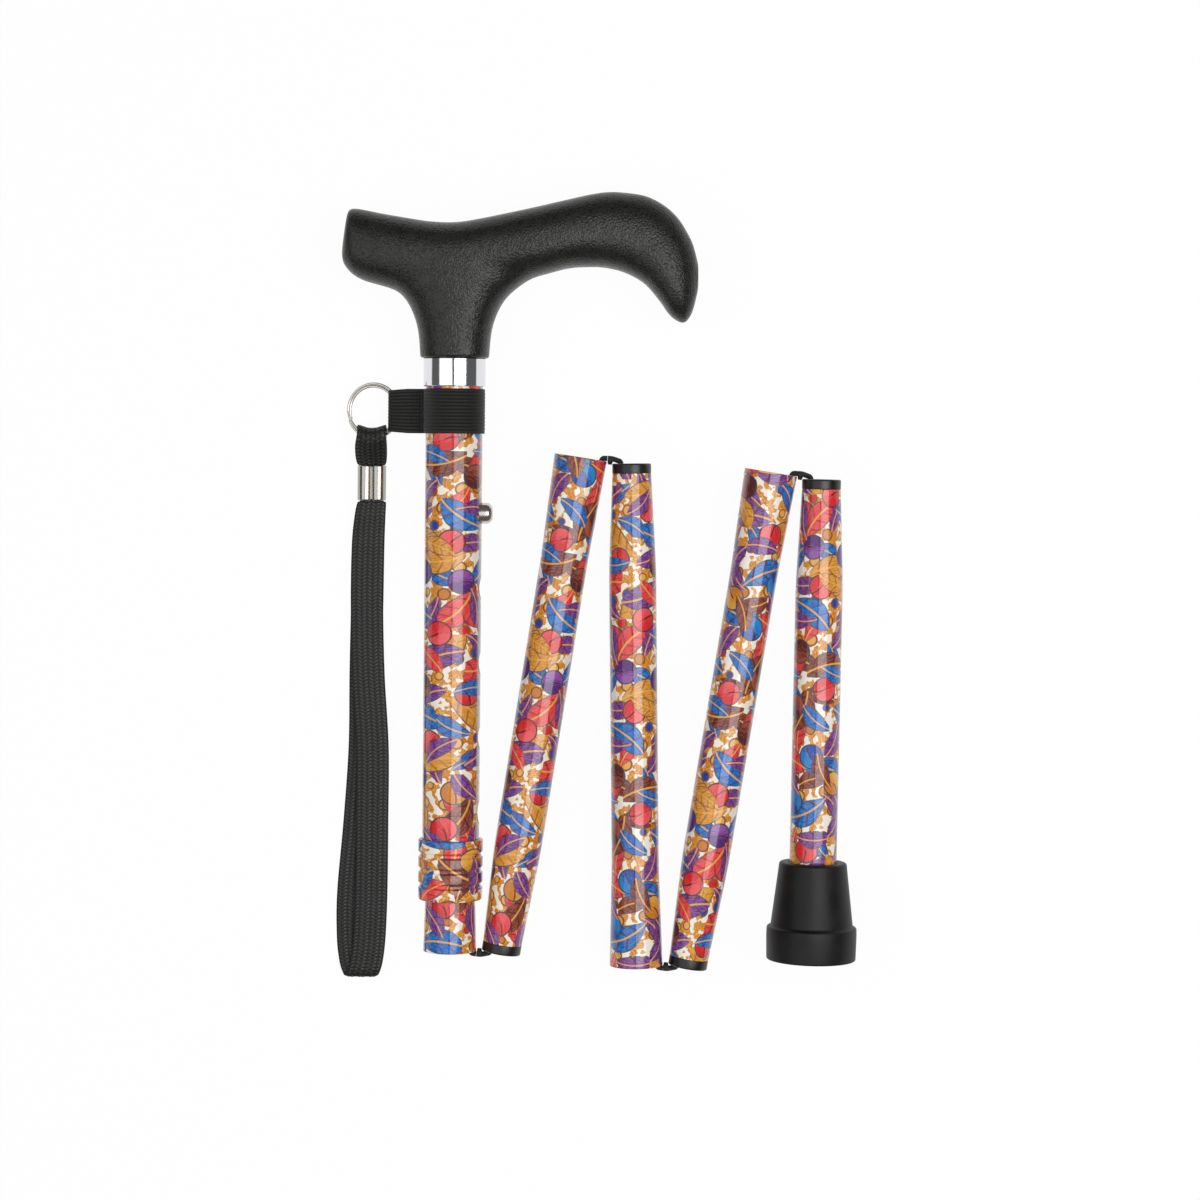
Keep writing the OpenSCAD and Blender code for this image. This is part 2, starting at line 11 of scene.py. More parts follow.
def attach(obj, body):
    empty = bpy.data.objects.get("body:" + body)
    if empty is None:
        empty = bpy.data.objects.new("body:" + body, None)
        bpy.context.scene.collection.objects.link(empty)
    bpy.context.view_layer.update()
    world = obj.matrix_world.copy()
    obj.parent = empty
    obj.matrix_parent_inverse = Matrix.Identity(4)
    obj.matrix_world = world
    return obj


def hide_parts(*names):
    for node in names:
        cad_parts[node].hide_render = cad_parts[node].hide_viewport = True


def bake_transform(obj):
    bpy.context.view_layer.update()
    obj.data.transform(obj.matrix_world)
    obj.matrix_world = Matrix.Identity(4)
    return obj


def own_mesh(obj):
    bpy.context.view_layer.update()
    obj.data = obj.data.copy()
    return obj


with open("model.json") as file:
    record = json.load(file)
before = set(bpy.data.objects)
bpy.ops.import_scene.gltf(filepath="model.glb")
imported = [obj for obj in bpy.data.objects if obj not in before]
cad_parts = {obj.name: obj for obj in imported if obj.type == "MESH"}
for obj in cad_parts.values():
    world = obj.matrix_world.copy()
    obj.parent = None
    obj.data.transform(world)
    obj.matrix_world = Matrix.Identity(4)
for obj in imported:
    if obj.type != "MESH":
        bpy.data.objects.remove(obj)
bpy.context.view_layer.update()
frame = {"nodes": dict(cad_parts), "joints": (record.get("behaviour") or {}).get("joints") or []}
JOINTS = {joint["name"]: joint for joint in frame["joints"]}
COLLECTION = bpy.context.scene.collection

# Sizes of the cane, in metres
UPPER_R = 0.00965
UPPER_WALL = 0.0009
UPPER_FOOT = 0.0207
UPPER_TOP = 0.2306
HOLE_R = 0.00385
HOLE_PITCH = 0.0254
HOLE_LOW = 0.0466
HOLE_COUNT = 5
HOLE_SIDES = 48
HOLE_DEPTH = 2 * UPPER_R * 0.7
BUTTON_Z = HOLE_LOW + (HOLE_COUNT - 1) * HOLE_PITCH
BUTTON_R = 0.0036
BUTTON_OUT = 0.0037
TUBE_R = 0.008
TUBE_WALL = 0.0009
MOUTH_R = 0.009
FLARE_LEN = 0.034
NECKED_R = 0.0066
NECKED_LEN = 0.032
SECTION_LEN = 0.1699
LAST_LEN = 0.1626
TUBE_FOOT = 0.1534
INNER_TOP = 0.1648
PIVOT_GAP = 0.002
PIVOT_SIDE = 0.0085
CAP_BACK = 0.0008
CAP_LEN = 0.0033
CAP_BORE_R = 0.0046
SPIGOT_LEN = 0.008
CORD_R = 0.0014
CORD_ROOM = 0.0002
CORD_IN = 0.003
ANCHOR_Z = 0.115
FOOT_PLUG_Z = 0.1434
FIT_ROOM = 0.00005
NECK_Z = 0.2006
COLLAR_R = 0.01055
COLLAR_H = 0.0096
BAND_GAP = 0.0008
BAND_W = 0.0151
BAND_T = 0.00075
BAND_LOW = NECK_Z - COLLAR_H - BAND_GAP - BAND_W
LOCK_Z = 0.0175
LOCK_H = 0.0205
LOCK_R = 0.01095
LOCK_BORE_R = 0.0098
LOCK_LIP_R = 0.00874
LOCK_LIP_H = 0.0017
TIP_R = 0.0153
TIP_CONE_R = 0.01395
TIP_NECK_R = 0.0116
TIP_H = 0.033
TIP_FOOT_H = 0.0115
TIP_SOLE = 0.008
HANDLE_LEN = 0.1203
HANDLE_H = 0.0567
HANDLE_W = 0.027
HANDLE_TAIL = 0.0381
NECK_R = 0.0117
HANDLE_BORE = 0.03
ROUND_SIDES = 96
SHARP_DEG = 38
FILLET_SHARE = 0.48


def axes_at(point, along):
    """A frame at a point of a section, with Z along it, X to its right and Y towards the table."""
    right = Vector((along.y, -along.x, 0))
    turn = Matrix((right, Vector((0, 0, -1)), along)).transposed()
    return Matrix.Translation(point) @ turn.to_4x4()


def pulled_out_end(letter, turn):
    """The frame at the cap's face of a section, from its fold's pivot and the way it slides home."""
    along = -Vector(JOINTS[f"seat_{letter}"]["axis"])
    right = Vector((along.y, -along.x, 0))
    pivot = Vector(JOINTS[f"fold_{letter}"]["pos_m"])
    return axes_at(pivot + (PIVOT_GAP + CAP_BACK) * along - turn * PIVOT_SIDE * right, along)


MOUTH = Vector(JOINTS["fold_a"]["pos_m"]) + Vector((-PIVOT_SIDE, PIVOT_GAP, 0))
FIRST = axes_at(MOUTH, Vector((0, 1, 0)))
# The folds from the handle down, and the way the cord turns at each: -1 to the left, 1 to the right
FOLDS = "abcd"
TURNS = [-1, 1, -1, 1]
SECTIONS = {i + 2: pulled_out_end(letter, TURNS[i]) for i, letter in enumerate(FOLDS)}
LAST = 5


def clamp(value):
    return min(1.0, max(0.0, value))


def circle(count):
    """Cosine and sine at even steps round a circle."""
    angles = [math.tau * i / count for i in range(count)]
    return [(math.cos(angle), math.sin(angle)) for angle in angles]


def piece(name, mesh, place=None, sharp_deg=SHARP_DEG):
    """A shown object from a bmesh, smooth but for its sharp edges."""
    data = bpy.data.meshes.new(name)
    bmesh.ops.recalc_face_normals(mesh, faces=mesh.faces)
    mesh.to_mesh(data)
    mesh.free()
    data.polygons.foreach_set("use_smooth", [True] * len(data.polygons))
    data.set_sharp_from_angle(angle=math.radians(sharp_deg))
    shown = bpy.data.objects.new(name, data)
    COLLECTION.objects.link(shown)
    if place is not None:
        shown.matrix_world = place
    return shown


def fix_modifiers(shown):
    """Replaces an object's mesh by what its modifiers make of it."""
    made = shown.evaluated_get(bpy.context.evaluated_depsgraph_get())
    data = bpy.data.meshes.new_from_object(made)
    shown.modifiers.clear()
    shown.data = data


def cut_away(shown, cutter):
    """Cuts one object out of another, and removes it."""
    cut = shown.modifiers.new("cut", "BOOLEAN")
    cut.operation = "DIFFERENCE"
    cut.object = cutter
    fix_modifiers(shown)
    bpy.data.objects.remove(cutter)


def rounded(corners, steps=5):
    """The outline through (radius, height, fillet) corners, with a curve at each corner that has a fillet."""
    outline = []
    for i, (radius, height, fillet) in enumerate(corners):
        here = Vector((radius, height))
        if fillet == 0:
            outline.append(here)
            continue
        back = Vector(corners[i - 1][:2]) - here
        ahead = Vector(corners[(i + 1) % len(corners)][:2]) - here
        reach = min(fillet, FILLET_SHARE * back.length, FILLET_SHARE * ahead.length)
        start, end = here + reach * back.normalized(), here + reach * ahead.normalized()
        for step in range(steps + 1):
            t = step / steps
            outline.append((1 - t) ** 2 * start + 2 * t * (1 - t) * here + t ** 2 * end)
    return [tuple(p) for p in outline]


def lathe(name, place, outline, print_shift=0.0, sides=ROUND_SIDES):
    """A turned piece from a closed outline of (radius, height), with a map of angle and height for prints."""
    mesh = bmesh.new()
    print_map = mesh.loops.layers.uv.new("print")
    rings = []
    for radius, height in outline:
        spots = circle(sides) if radius > 0 else [(1, 0)]
        rings.append([mesh.verts.new((radius * x, radius * y, height)) for x, y in spots])
    for index, low in enumerate(rings):
        high = rings[(index + 1) % len(rings)]
        if len(low) == 1 and len(high) == 1:
            continue
        for i in range(sides):
            corners = []
            for ring, column in ((low, i), (low, i + 1), (high, i + 1), (high, i)):
                vert = ring[column % sides] if len(ring) > 1 else ring[0]
                if all(vert is not other for other, _ in corners):
                    corners.append((vert, column))
            face = mesh.faces.new([vert for vert, _ in corners])
            for loop, (vert, column) in zip(face.loops, corners):
                loop[print_map].uv = (column / sides, vert.co.z / (math.tau * TUBE_R) + print_shift)
    return piece(name, mesh, place)


def curve_through(points, spacing, closed=False):
    """Points close together on a smooth curve through a few, each with any further values that it carries."""
    vectors = [Vector(p) for p in points]
    count = len(vectors)
    fine = []
    for i in range(count if closed else count - 1):
        near = [j % count if closed else min(max(j, 0), count - 1) for j in range(i - 1, i + 3)]
        a, b, c, d = (vectors[j] for j in near)
        bend, twist = 2 * a - 5 * b + 4 * c - d, 3 * b - a - 3 * c + d
        steps = max(1, round((c.to_3d() - b.to_3d()).length / spacing))
        for step in range(steps):
            t = step / steps
            fine.append(0.5 * (2 * b + (c - a) * t + bend * t ** 2 + twist * t ** 3))
    if not closed:
        fine.append(vectors[-1])
    return fine


def loft(mesh, rings, closed_path=False, maps=None, map_name="map"):
    """Faces between rings of points, with end faces on an open path; maps places each point in a map."""
    verts = [[mesh.verts.new(p) for p in ring] for ring in rings]
    layer = mesh.loops.layers.uv.new(map_name) if maps else None
    length, width = len(verts), len(verts[0])
    for i in range(length if closed_path else length - 1):
        for j in range(width):
            spots = [(a % length, b % width) for a, b in ((i, j), (i, j + 1), (i + 1, j + 1), (i + 1, j))]
            face = mesh.faces.new([verts[a][b] for a, b in spots])
            if layer:
                for loop, (a, b) in zip(face.loops, spots):
                    loop[layer].uv = maps[a][b]
    if not closed_path:
        mesh.faces.new(verts[0])
        mesh.faces.new(verts[-1])


def lofted(name, rings, closed_path=False, maps=None, map_name="map", sharp_deg=SHARP_DEG):
    """A shown object from rings of points."""
    mesh = bmesh.new()
    loft(mesh, rings, closed_path, maps, map_name)
    return piece(name, mesh, sharp_deg=sharp_deg)


def both_faces(count):
    """Side and share across of points round a flat strip: over one face, and back on the other."""
    shares = [step / count for step in range(count + 1)]
    return [(1, share) for share in shares] + [(-1, 1 - share) for share in shares]


# Materials


def srgb(red, green, blue):
    """A colour from its usual numbers up to 255."""
    parts = [value / 255 for value in (red, green, blue)]
    return tuple(p / 12.92 if p <= 0.04045 else ((p + 0.055) / 1.055) ** 2.4 for p in parts) + (1.0,)


class Value:
    """A node's output, with plain arithmetic that adds a node for each step."""

    def __init__(self, shader, socket):
        self.shader, self.socket = shader, socket

    def __add__(self, other):
        return self.shader.math("ADD", self, other)

    def __sub__(self, other):
        return self.shader.math("SUBTRACT", self, other)

    def __mul__(self, other):
        return self.shader.math("MULTIPLY", self, other)

    def __truediv__(self, other):
        return self.shader.math("DIVIDE", self, other)


class Shader:
    """A material's nodes, with short calls that add a node and return its output."""

    def __init__(self, name, color, roughness, metallic=0.0):
        self.material = bpy.data.materials.new(name)
        self.material.use_nodes = True
        self.tree = self.material.node_tree
        self.surface = self.tree.nodes["Principled BSDF"].inputs
        for key, value in (("Base Color", color), ("Roughness", roughness), ("Metallic", metallic)):
            self.surface[key].default_value = value

    def put(self, socket, value):
        if isinstance(value, Value):
            self.tree.links.new(value.socket, socket)
        else:
            socket.default_value = value

    def add(self, kind, inputs, out=0, **settings):
        node = self.tree.nodes.new(kind)
        for key, value in settings.items():
            setattr(node, key, value)
        for key, value in inputs.items():
            self.put(node.inputs[key], value)
        return Value(self, node.outputs[out])

    def math(self, operation, *values):
        return self.add("ShaderNodeMath", dict(enumerate(values)), operation=operation)

    def vector(self, x, y, z):
        return self.add("ShaderNodeCombineXYZ", {"X": x, "Y": y, "Z": z})

    def parts(self, vector):
        node = self.add("ShaderNodeSeparateXYZ", {"Vector": vector}).socket.node
        return [Value(self, socket) for socket in node.outputs]

    def mix(self, share, first, second):
        return self.add("ShaderNodeMix", {0: share, 6: first, 7: second}, 2, data_type="RGBA")

    def steps(self, value, low, high):
        """A smooth rise from 0 at low to 1 at high."""
        inputs = {"Value": value, "From Min": low, "From Max": high}
        return self.add("ShaderNodeMapRange", inputs, interpolation_type="SMOOTHSTEP")

    def palette(self, value, colors):
        """One of several colours, chosen by a value from 0 to 1."""
        chosen = self.add("ShaderNodeValToRGB", {"Fac": value}, "Color")
        ramp = chosen.socket.node.color_ramp
        ramp.interpolation = "CONSTANT"
        while len(ramp.elements) < len(colors):
            ramp.elements.new(0.5)
        for i in range(len(colors)):
            ramp.elements[i].position = i / len(colors)
        for i, color in enumerate(colors):
            ramp.elements[i].color = color
        return chosen

    def noise(self, vector, scale, detail=2.0):
        inputs = {"Vector": vector, "Scale": scale, "Detail": detail}
        return self.add("ShaderNodeTexNoise", inputs, "Fac")

    def chance(self, vector):
        """Three even random numbers that belong to a cell."""
        inputs = {"Vector": vector}
        return self.parts(self.add("ShaderNodeTexWhiteNoise", inputs, "Color", noise_dimensions="3D"))

    def place(self):
        return self.add("ShaderNodeTexCoord", {}, "Object")

    def map(self, name):
        return self.parts(self.add("ShaderNodeUVMap", {}, uv_map=name))

    def finish(self, relief, rough=None, color=None, levels=None):
        """Sets relief (height, strength, distance), roughness (value, low, high), colour and other levels."""
        inputs = dict(zip(("Height", "Strength", "Distance"), relief))
        self.put(self.surface["Normal"], self.add("ShaderNodeBump", inputs))
        if rough is not None:
            inputs = dict(zip(("Value", "To Min", "To Max"), rough))
            self.put(self.surface["Roughness"], self.add("ShaderNodeMapRange", inputs))
        if color is not None:
            self.put(self.surface["Base Color"], color)
        for key, level in (levels or {}).items():
            self.surface[key].default_value = level
        return self.material


OCHRE = srgb(206, 122, 14)
GOLD = srgb(232, 170, 66)
BLUE = srgb(0, 66, 168)
SKY = srgb(30, 134, 208)
PURPLE = srgb(84, 26, 116)
LILAC = srgb(146, 80, 164)
CORAL = srgb(218, 26, 36)
PINK = srgb(240, 84, 88)
BROWN = srgb(84, 24, 24)
TAN = srgb(164, 80, 56)
CREAM = srgb(246, 240, 226)
TEAL = srgb(16, 70, 92)
RUST = srgb(138, 74, 26)
# Colours that go together: each body colour and its paler partner
HUES = [PURPLE, BLUE, CORAL, BROWN, OCHRE, PURPLE, BLUE, CORAL]
TINTS = [LILAC, SKY, PINK, TAN, GOLD, LILAC, SKY, PINK]


class Cells:
    """Cells in rows that close round a tube: where a point is in its cell, and the cell's random numbers."""

    def __init__(self, shader, count, row_shift, seed, jitter):
        around, along, _ = shader.map("print")
        row_at = along * count + row_shift
        row = shader.math("FLOOR", row_at)
        column_at = around * count + shader.math("FLOORED_MODULO", row, 2.0) * 0.5
        column = shader.math("FLOOR", column_at)
        home = shader.math("FLOORED_MODULO", column, count)
        first = shader.chance(shader.vector(home, row, seed))
        self.second = shader.chance(shader.vector(home, row, seed + 0.37))
        nearest = 0.5 - jitter / 2
        self.x = column_at - column - (first[0] * jitter + nearest)
        self.y = row_at - row - (first[1] * jitter + nearest)
        self.turn = first[2] * math.tau


def turned(shader, cells, long):
    """A cell's place along and across its motif, as a share of the motif's half length and in cells."""
    cos, sin = shader.math("COSINE", cells.turn), shader.math("SINE", cells.turn)
    return (cells.x * cos + cells.y * sin) / long, cells.y * cos - cells.x * sin


def edged(shader, under, share, body, line):
    """A motif with a dark line round it, over what is under it."""
    shown = shader.mix(shader.steps(share, 1.04, 0.98), under, line)
    return shader.mix(shader.steps(share, 0.93, 0.88), shown, body)


def leaves(shader, under, cells, long, wide):
    """Curved leaves with a pale midrib and slanting veins, painted over what is under them."""
    run, across = turned(shader, cells, long)
    square = run * run
    across = square * (-0.5 * wide) + (across + 0.15 * wide)
    half = shader.math("SUBTRACT", 1.0, square) * ((run * -0.35 + 1.0) * wide)
    off = shader.math("ABSOLUTE", across)
    share = off / shader.math("MAXIMUM", half, 0.0001)
    hue = shader.palette(cells.second[0], HUES)
    tint = shader.palette(cells.second[0], TINTS)
    streaks = shader.noise(shader.vector(run * 3.0, across * 40.0, cells.turn), 1.6, 3.0)
    body = shader.mix(shader.steps(streaks, 0.38, 0.6), hue, tint)
    veins = shader.math("SINE", off * (4.5 / wide) + run * 15.0)
    body = shader.mix(shader.steps(veins, 0.72, 0.95) * 0.85, body, shader.mix(cells.second[1], BROWN, hue))
    body = shader.mix(shader.steps(off / wide, 0.1, 0.05), body, GOLD)
    return edged(shader, under, share, body, shader.mix(cells.second[2], TEAL, RUST))


def plums(shader, under, cells, size):
    """Round fruits with a paler side, brushed streaks and a dark crease, painted over what is under them."""
    run, across = turned(shader, cells, size)
    across = across / size
    share = shader.math("SQRT", run * run + across * across)
    hue = shader.palette(cells.second[0], [CORAL, OCHRE, BLUE, BROWN, PURPLE, CORAL])
    tint = shader.palette(cells.second[0], [PINK, GOLD, SKY, TAN, LILAC, PINK])
    streaks = shader.noise(shader.vector(run * 1.5, across * 9.0, cells.turn), 1.6, 3.0)
    body = shader.mix(shader.steps(across * 0.35 + streaks, 0.4, 0.66), hue, tint)
    bend = shader.math("ABSOLUTE", run * run * 0.3 + across)
    crease = shader.steps(bend, 0.09, 0.03) * shader.steps(run, -0.2, 0.1)
    body = shader.mix(crease, body, BROWN)
    return edged(shader, under, share, body, shader.mix(cells.second[2], TEAL, BROWN))


def berries(shader, under, cells, size):
    """Small gold berries with a rust line, painted over what is under them."""
    reach = shader.math("SQRT", cells.x * cells.x + cells.y * cells.y)
    share = reach / (cells.second[1] * (0.5 * size) + 0.5 * size)
    body = shader.palette(cells.second[0], [OCHRE, GOLD, OCHRE, CORAL, GOLD, BLUE])
    shown = shader.mix(shader.steps(share, 1.02, 0.92), under, RUST)
    return shader.mix(shader.steps(share, 0.76, 0.66), shown, body)


def printed():
    """A printed film under clear lacquer: leaves, plums and berries on ochre with gold scrolls and cream."""
    shader = Shader("tube_print", CREAM, 0.34)
    around, along, _ = shader.map("print")
    turn = around * math.tau
    spot = shader.vector(shader.math("COSINE", turn), shader.math("SINE", turn), along * math.tau)
    scrolls = shader.math("SINE", shader.noise(spot, 2.2) * 75.0)
    shown = shader.mix(shader.steps(scrolls, 0.2, 0.6), OCHRE, GOLD)
    shown = shader.mix(shader.steps(shader.noise(spot, 3.1, 1.0), 0.49, 0.51), shown, CREAM)
    shown = berries(shader, shown, Cells(shader, 7, 0.4, 1.5, 0.5), 0.34)
    shown = leaves(shader, shown, Cells(shader, 4, 0.2, 2.5, 0.4), 0.56, 0.24)
    shown = leaves(shader, shown, Cells(shader, 3, 0.7, 3.5, 0.3), 0.54, 0.25)
    shown = plums(shader, shown, Cells(shader, 3, 0.1, 4.5, 0.5), 0.25)
    shown = leaves(shader, shown, Cells(shader, 3, 0.45, 5.5, 0.5), 0.42, 0.17)
    grain = shader.noise(spot, 30.0, 3.0)
    shown = shader.mix(shader.steps(grain, 0.5, 0.75) * 0.1, shown, CREAM)
    return shader.finish((grain, 0.03, 0.0002), (grain, 0.28, 0.42), shown,
                         {"Coat Weight": 0.8, "Coat Roughness": 0.05, "Specular IOR Level": 0.25})


def grained_plastic():
    """Black moulded plastic with a fine pebbled leather grain."""
    shader = Shader("handle_plastic", srgb(20, 20, 21), 0.36)
    spot = shader.place()
    inputs = {"Vector": spot, "Scale": 1700.0}
    pebbles = shader.add("ShaderNodeTexVoronoi", inputs, "Distance", feature="SMOOTH_F1")
    height = shader.noise(spot, 300.0, 3.0) * 0.6 + pebbles
    tone = shader.steps(height, 0.4, 1.1)
    color = shader.mix(tone, srgb(44, 44, 40), srgb(13, 13, 12))
    return shader.finish((height, 0.55, 0.0003), (tone, 0.26, 0.4), color, {"Specular IOR Level": 0.32})


def bright_metal():
    """Polished chrome with faint turning marks."""
    shader = Shader("chrome", srgb(226, 227, 230), 0.08, 1.0)
    x, y, z = shader.parts(shader.place())
    marks = shader.noise(shader.vector(x * 60.0, y * 60.0, z), 900.0)
    return shader.finish((marks, 0.02, 0.0001), (marks, 0.05, 0.14))


def bare_metal(name, color, low, high):
    """Drawn metal with lines along it."""
    shader = Shader(name, color, low, 1.0)
    x, y, z = shader.parts(shader.place())
    lines = shader.noise(shader.vector(x, y, z * 0.02), 1800.0)
    return shader.finish((lines, 0.03, 0.0001), (lines, low, high))


def ribbed_webbing():
    """Black elastic webbing, from the map across and along its ribs, with painted shade in its grooves and a
    painted highlight on its ribs.
    """
    shader = Shader("elastic_webbing", srgb(20, 20, 20), 0.62)
    across, along, _ = shader.map("ribs")
    rib = shader.math("ABSOLUTE", shader.math("SINE", across * math.pi))
    weft = shader.math("SINE", (along + shader.math("FLOOR", across) * 0.5) * math.tau)
    fibre = shader.noise(shader.place(), 3500.0, 3.0)
    height = weft * 0.16 + (fibre * 0.25 + rib)
    # The colour follows the relief: painted shade in the grooves between ribs and weft and a painted highlight
    # on their crests, plus random fibre tone
    color = shader.mix(shader.steps(height, 0.2, 1.1), srgb(4, 4, 4), srgb(31, 31, 29))
    return shader.finish((height, 0.45, 0.0003), (fibre, 0.5, 0.75), color,
                         {"Specular IOR Level": 0.35, "Sheen Weight": 0.15, "Sheen Roughness": 0.4})


def braided_yarn():
    """Black braid of glossy yarn, from the map across its columns and along its rows, with a painted highlight
    on each strand's crest and painted shade between the strands.
    """
    shader = Shader("braided_yarn", srgb(18, 18, 18), 0.45)
    column, row, _ = shader.map("braid")
    slanted = shader.math("PINGPONG", column, 1.0) * (BRAID_SLANT / BRAID_PITCH) + row
    strand = shader.math("COSINE", slanted * math.tau) * 0.5 + 0.5
    seam = shader.math("ABSOLUTE", shader.math("SINE", column * math.pi))
    fibre = shader.noise(shader.place(), 2800.0, 3.0)
    # Painted highlight on each strand's crest and painted shade in the grooves between strands and columns,
    # mixed with random fibre tone; the same mask also sets roughness
    painted_light_mask = strand * seam * (fibre + 0.5)
    color = shader.mix(shader.steps(painted_light_mask, 0.1, 0.95), srgb(3, 3, 3), srgb(50, 50, 46))
    return shader.finish((fibre, 0.3, 0.0001), (painted_light_mask, 0.6, 0.38), color, {"Specular IOR Level": 0.4})


def sewing_thread():
    """Black thread with a fine twist."""
    shader = Shader("stitch_thread", srgb(14, 14, 15), 0.5)
    twist = shader.noise(shader.place(), 5000.0)
    return shader.finish((twist, 0.4, 0.0001), color=shader.mix(twist, srgb(8, 8, 9), srgb(50, 50, 50)))


def sleeved_cord():
    """A braided sleeve over the elastic cord, from the map round and along it, with a painted highlight on its
    raised strands and painted shade between them.
    """
    shader = Shader("elastic_sleeve", srgb(26, 26, 27), 0.6)
    around, along, _ = shader.map("sleeve")
    left = shader.math("SINE", (around + along) * math.tau)
    right = shader.math("SINE", (around - along) * math.tau)
    weave = shader.math("MAXIMUM", left, right)
    # Painted highlight on the raised strands and painted shade between them, following the weave's relief
    color = shader.mix(shader.steps(weave, 0.0, 1.0), srgb(7, 7, 7), srgb(28, 28, 27))
    return shader.finish((weave, 0.5, 0.0002), (weave, 0.75, 0.5), color)


def moulded(name, dark, light, low, high, scale, shine=0.5):
    """Moulded black plastic or rubber with a faint bloom and fine flow marks."""
    shader = Shader(name, dark, low)
    spot = shader.place()
    bloom = shader.noise(spot, scale, 4.0)
    fine = shader.noise(spot, scale * 14)
    color = shader.mix(shader.steps(bloom, 0.35, 0.7), dark, light)
    return shader.finish((fine, 0.12, 0.0001), (bloom, low, high), color, {"Specular IOR Level": shine})


BRAID_PITCH = 0.0012
BRAID_SLANT = 0.0011
PRINT = printed()
PLASTIC = grained_plastic()
CHROME = bright_metal()
NICKEL = bare_metal("nickel", srgb(208, 205, 199), 0.17, 0.27)
CRIMP_METAL = bare_metal("crimp_metal", srgb(170, 167, 161), 0.13, 0.22)
STEEL = bare_metal("plated_steel", srgb(178, 181, 186), 0.2, 0.38)
WEBBING = ribbed_webbing()
BRAID = braided_yarn()
THREAD = sewing_thread()
SLEEVE = sleeved_cord()
CAP_PLASTIC = moulded("cap_plastic", srgb(9, 9, 9), srgb(20, 20, 19), 0.28, 0.42, 300.0)
NYLON = moulded("nylon", srgb(40, 40, 42), srgb(52, 52, 54), 0.45, 0.6, 260.0)
RUBBER = moulded("tip_rubber", srgb(9, 9, 9), srgb(22, 22, 21), 0.4, 0.56, 120.0, 0.28)


def dress(shown, material, slot, body, *nodes):
    """Gives a new piece its finish and body, in place of the CAD nodes that it stands for."""
    shown.data.materials.clear()
    shown.data.materials.append(material)
    if body:
        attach(shown, body)
    if nodes:
        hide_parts(*nodes)
    return shown


# Camera and light

VIEW_HEIGHT = 1.0653
VIEW_LENS = 93.0
VIEW_PLACE = (-0.0003, 0.045)
VIEW_SHIFT = -0.125
VIEW_ROLL_DEG = 0.49
FLOOR_GLOW = 0.96
FLOOR_HALF = 3.0
ROOM_LIGHT = 0.12


def set_camera():
    """Straight down from about a metre, as the photograph was taken."""
    data = bpy.data.cameras.new("camera")
    data.lens = VIEW_LENS
    data.sensor_width = 36.0
    data.shift_y = VIEW_SHIFT
    camera = bpy.data.objects.new("camera", data)
    camera.location = (*VIEW_PLACE, VIEW_HEIGHT)
    camera.rotation_euler = (0, 0, math.radians(VIEW_ROLL_DEG))
    COLLECTION.objects.link(camera)
    bpy.context.scene.camera = camera


def add_softbox(name, place, aim, size, power):
    data = bpy.data.lights.new(name, "AREA")
    data.shape = "RECTANGLE"
    data.size, data.size_y = size
    data.energy = power
    light = bpy.data.objects.new(name, data)
    light.location = place
    light.rotation_euler = (Vector(aim) - Vector(place)).to_track_quat("-Z", "Y").to_euler()
    COLLECTION.objects.link(light)


def add_floor():
    """A white floor that the camera and reflections see as white, with the object's soft shadow on it."""
    mesh = bmesh.new()
    bmesh.ops.create_grid(mesh, x_segments=1, y_segments=1, size=FLOOR_HALF)
    floor = piece("floor", mesh)
    shader = Shader("floor_paint", srgb(252, 252, 252), 0.9)
    paint = Value(shader, shader.tree.nodes["Principled BSDF"].outputs[0])
    seen = shader.add("ShaderNodeLightPath", {}, "Is Camera Ray")
    for ray in ("Is Glossy Ray", "Is Transmission Ray"):
        seen = shader.math("MAXIMUM", seen, shader.add("ShaderNodeLightPath", {}, ray))
    glow = shader.add("ShaderNodeEmission", {"Strength": 1.0})
    both = shader.add("ShaderNodeMixShader", {0: seen * FLOOR_GLOW, 1: paint, 2: glow})
    shader.put(shader.tree.nodes["Material Output"].inputs["Surface"], both)
    floor.data.materials.append(shader.material)


def light_room():
    """A bright softbox over the right half, a wide dim one on the left, and a dark room."""
    world = bpy.data.worlds.new("room")
    bpy.context.scene.world = world
    world.use_nodes = True
    background = world.node_tree.nodes["Background"].inputs
    background["Color"].default_value = (1.0, 1.0, 1.0, 1.0)
    background["Strength"].default_value = ROOM_LIGHT
    add_softbox("right_softbox", (0.58, -0.02, 1.25), (0.58, -0.02, 0), (1.13, 0.8), 13.0)
    add_softbox("left_softbox", (-0.677, -0.05, 1.105), (0, 0, 0), (1.527, 1.16), 6.8)


set_camera()
light_room()
add_floor()
bpy.context.scene.view_settings.view_transform = "Standard"

# Wrist strap

STRAP_AT = FIRST @ Vector((0, 0, BAND_LOW + BAND_W / 2))
STRAP_AT.z = 0.0
STRAP_T = 0.0019
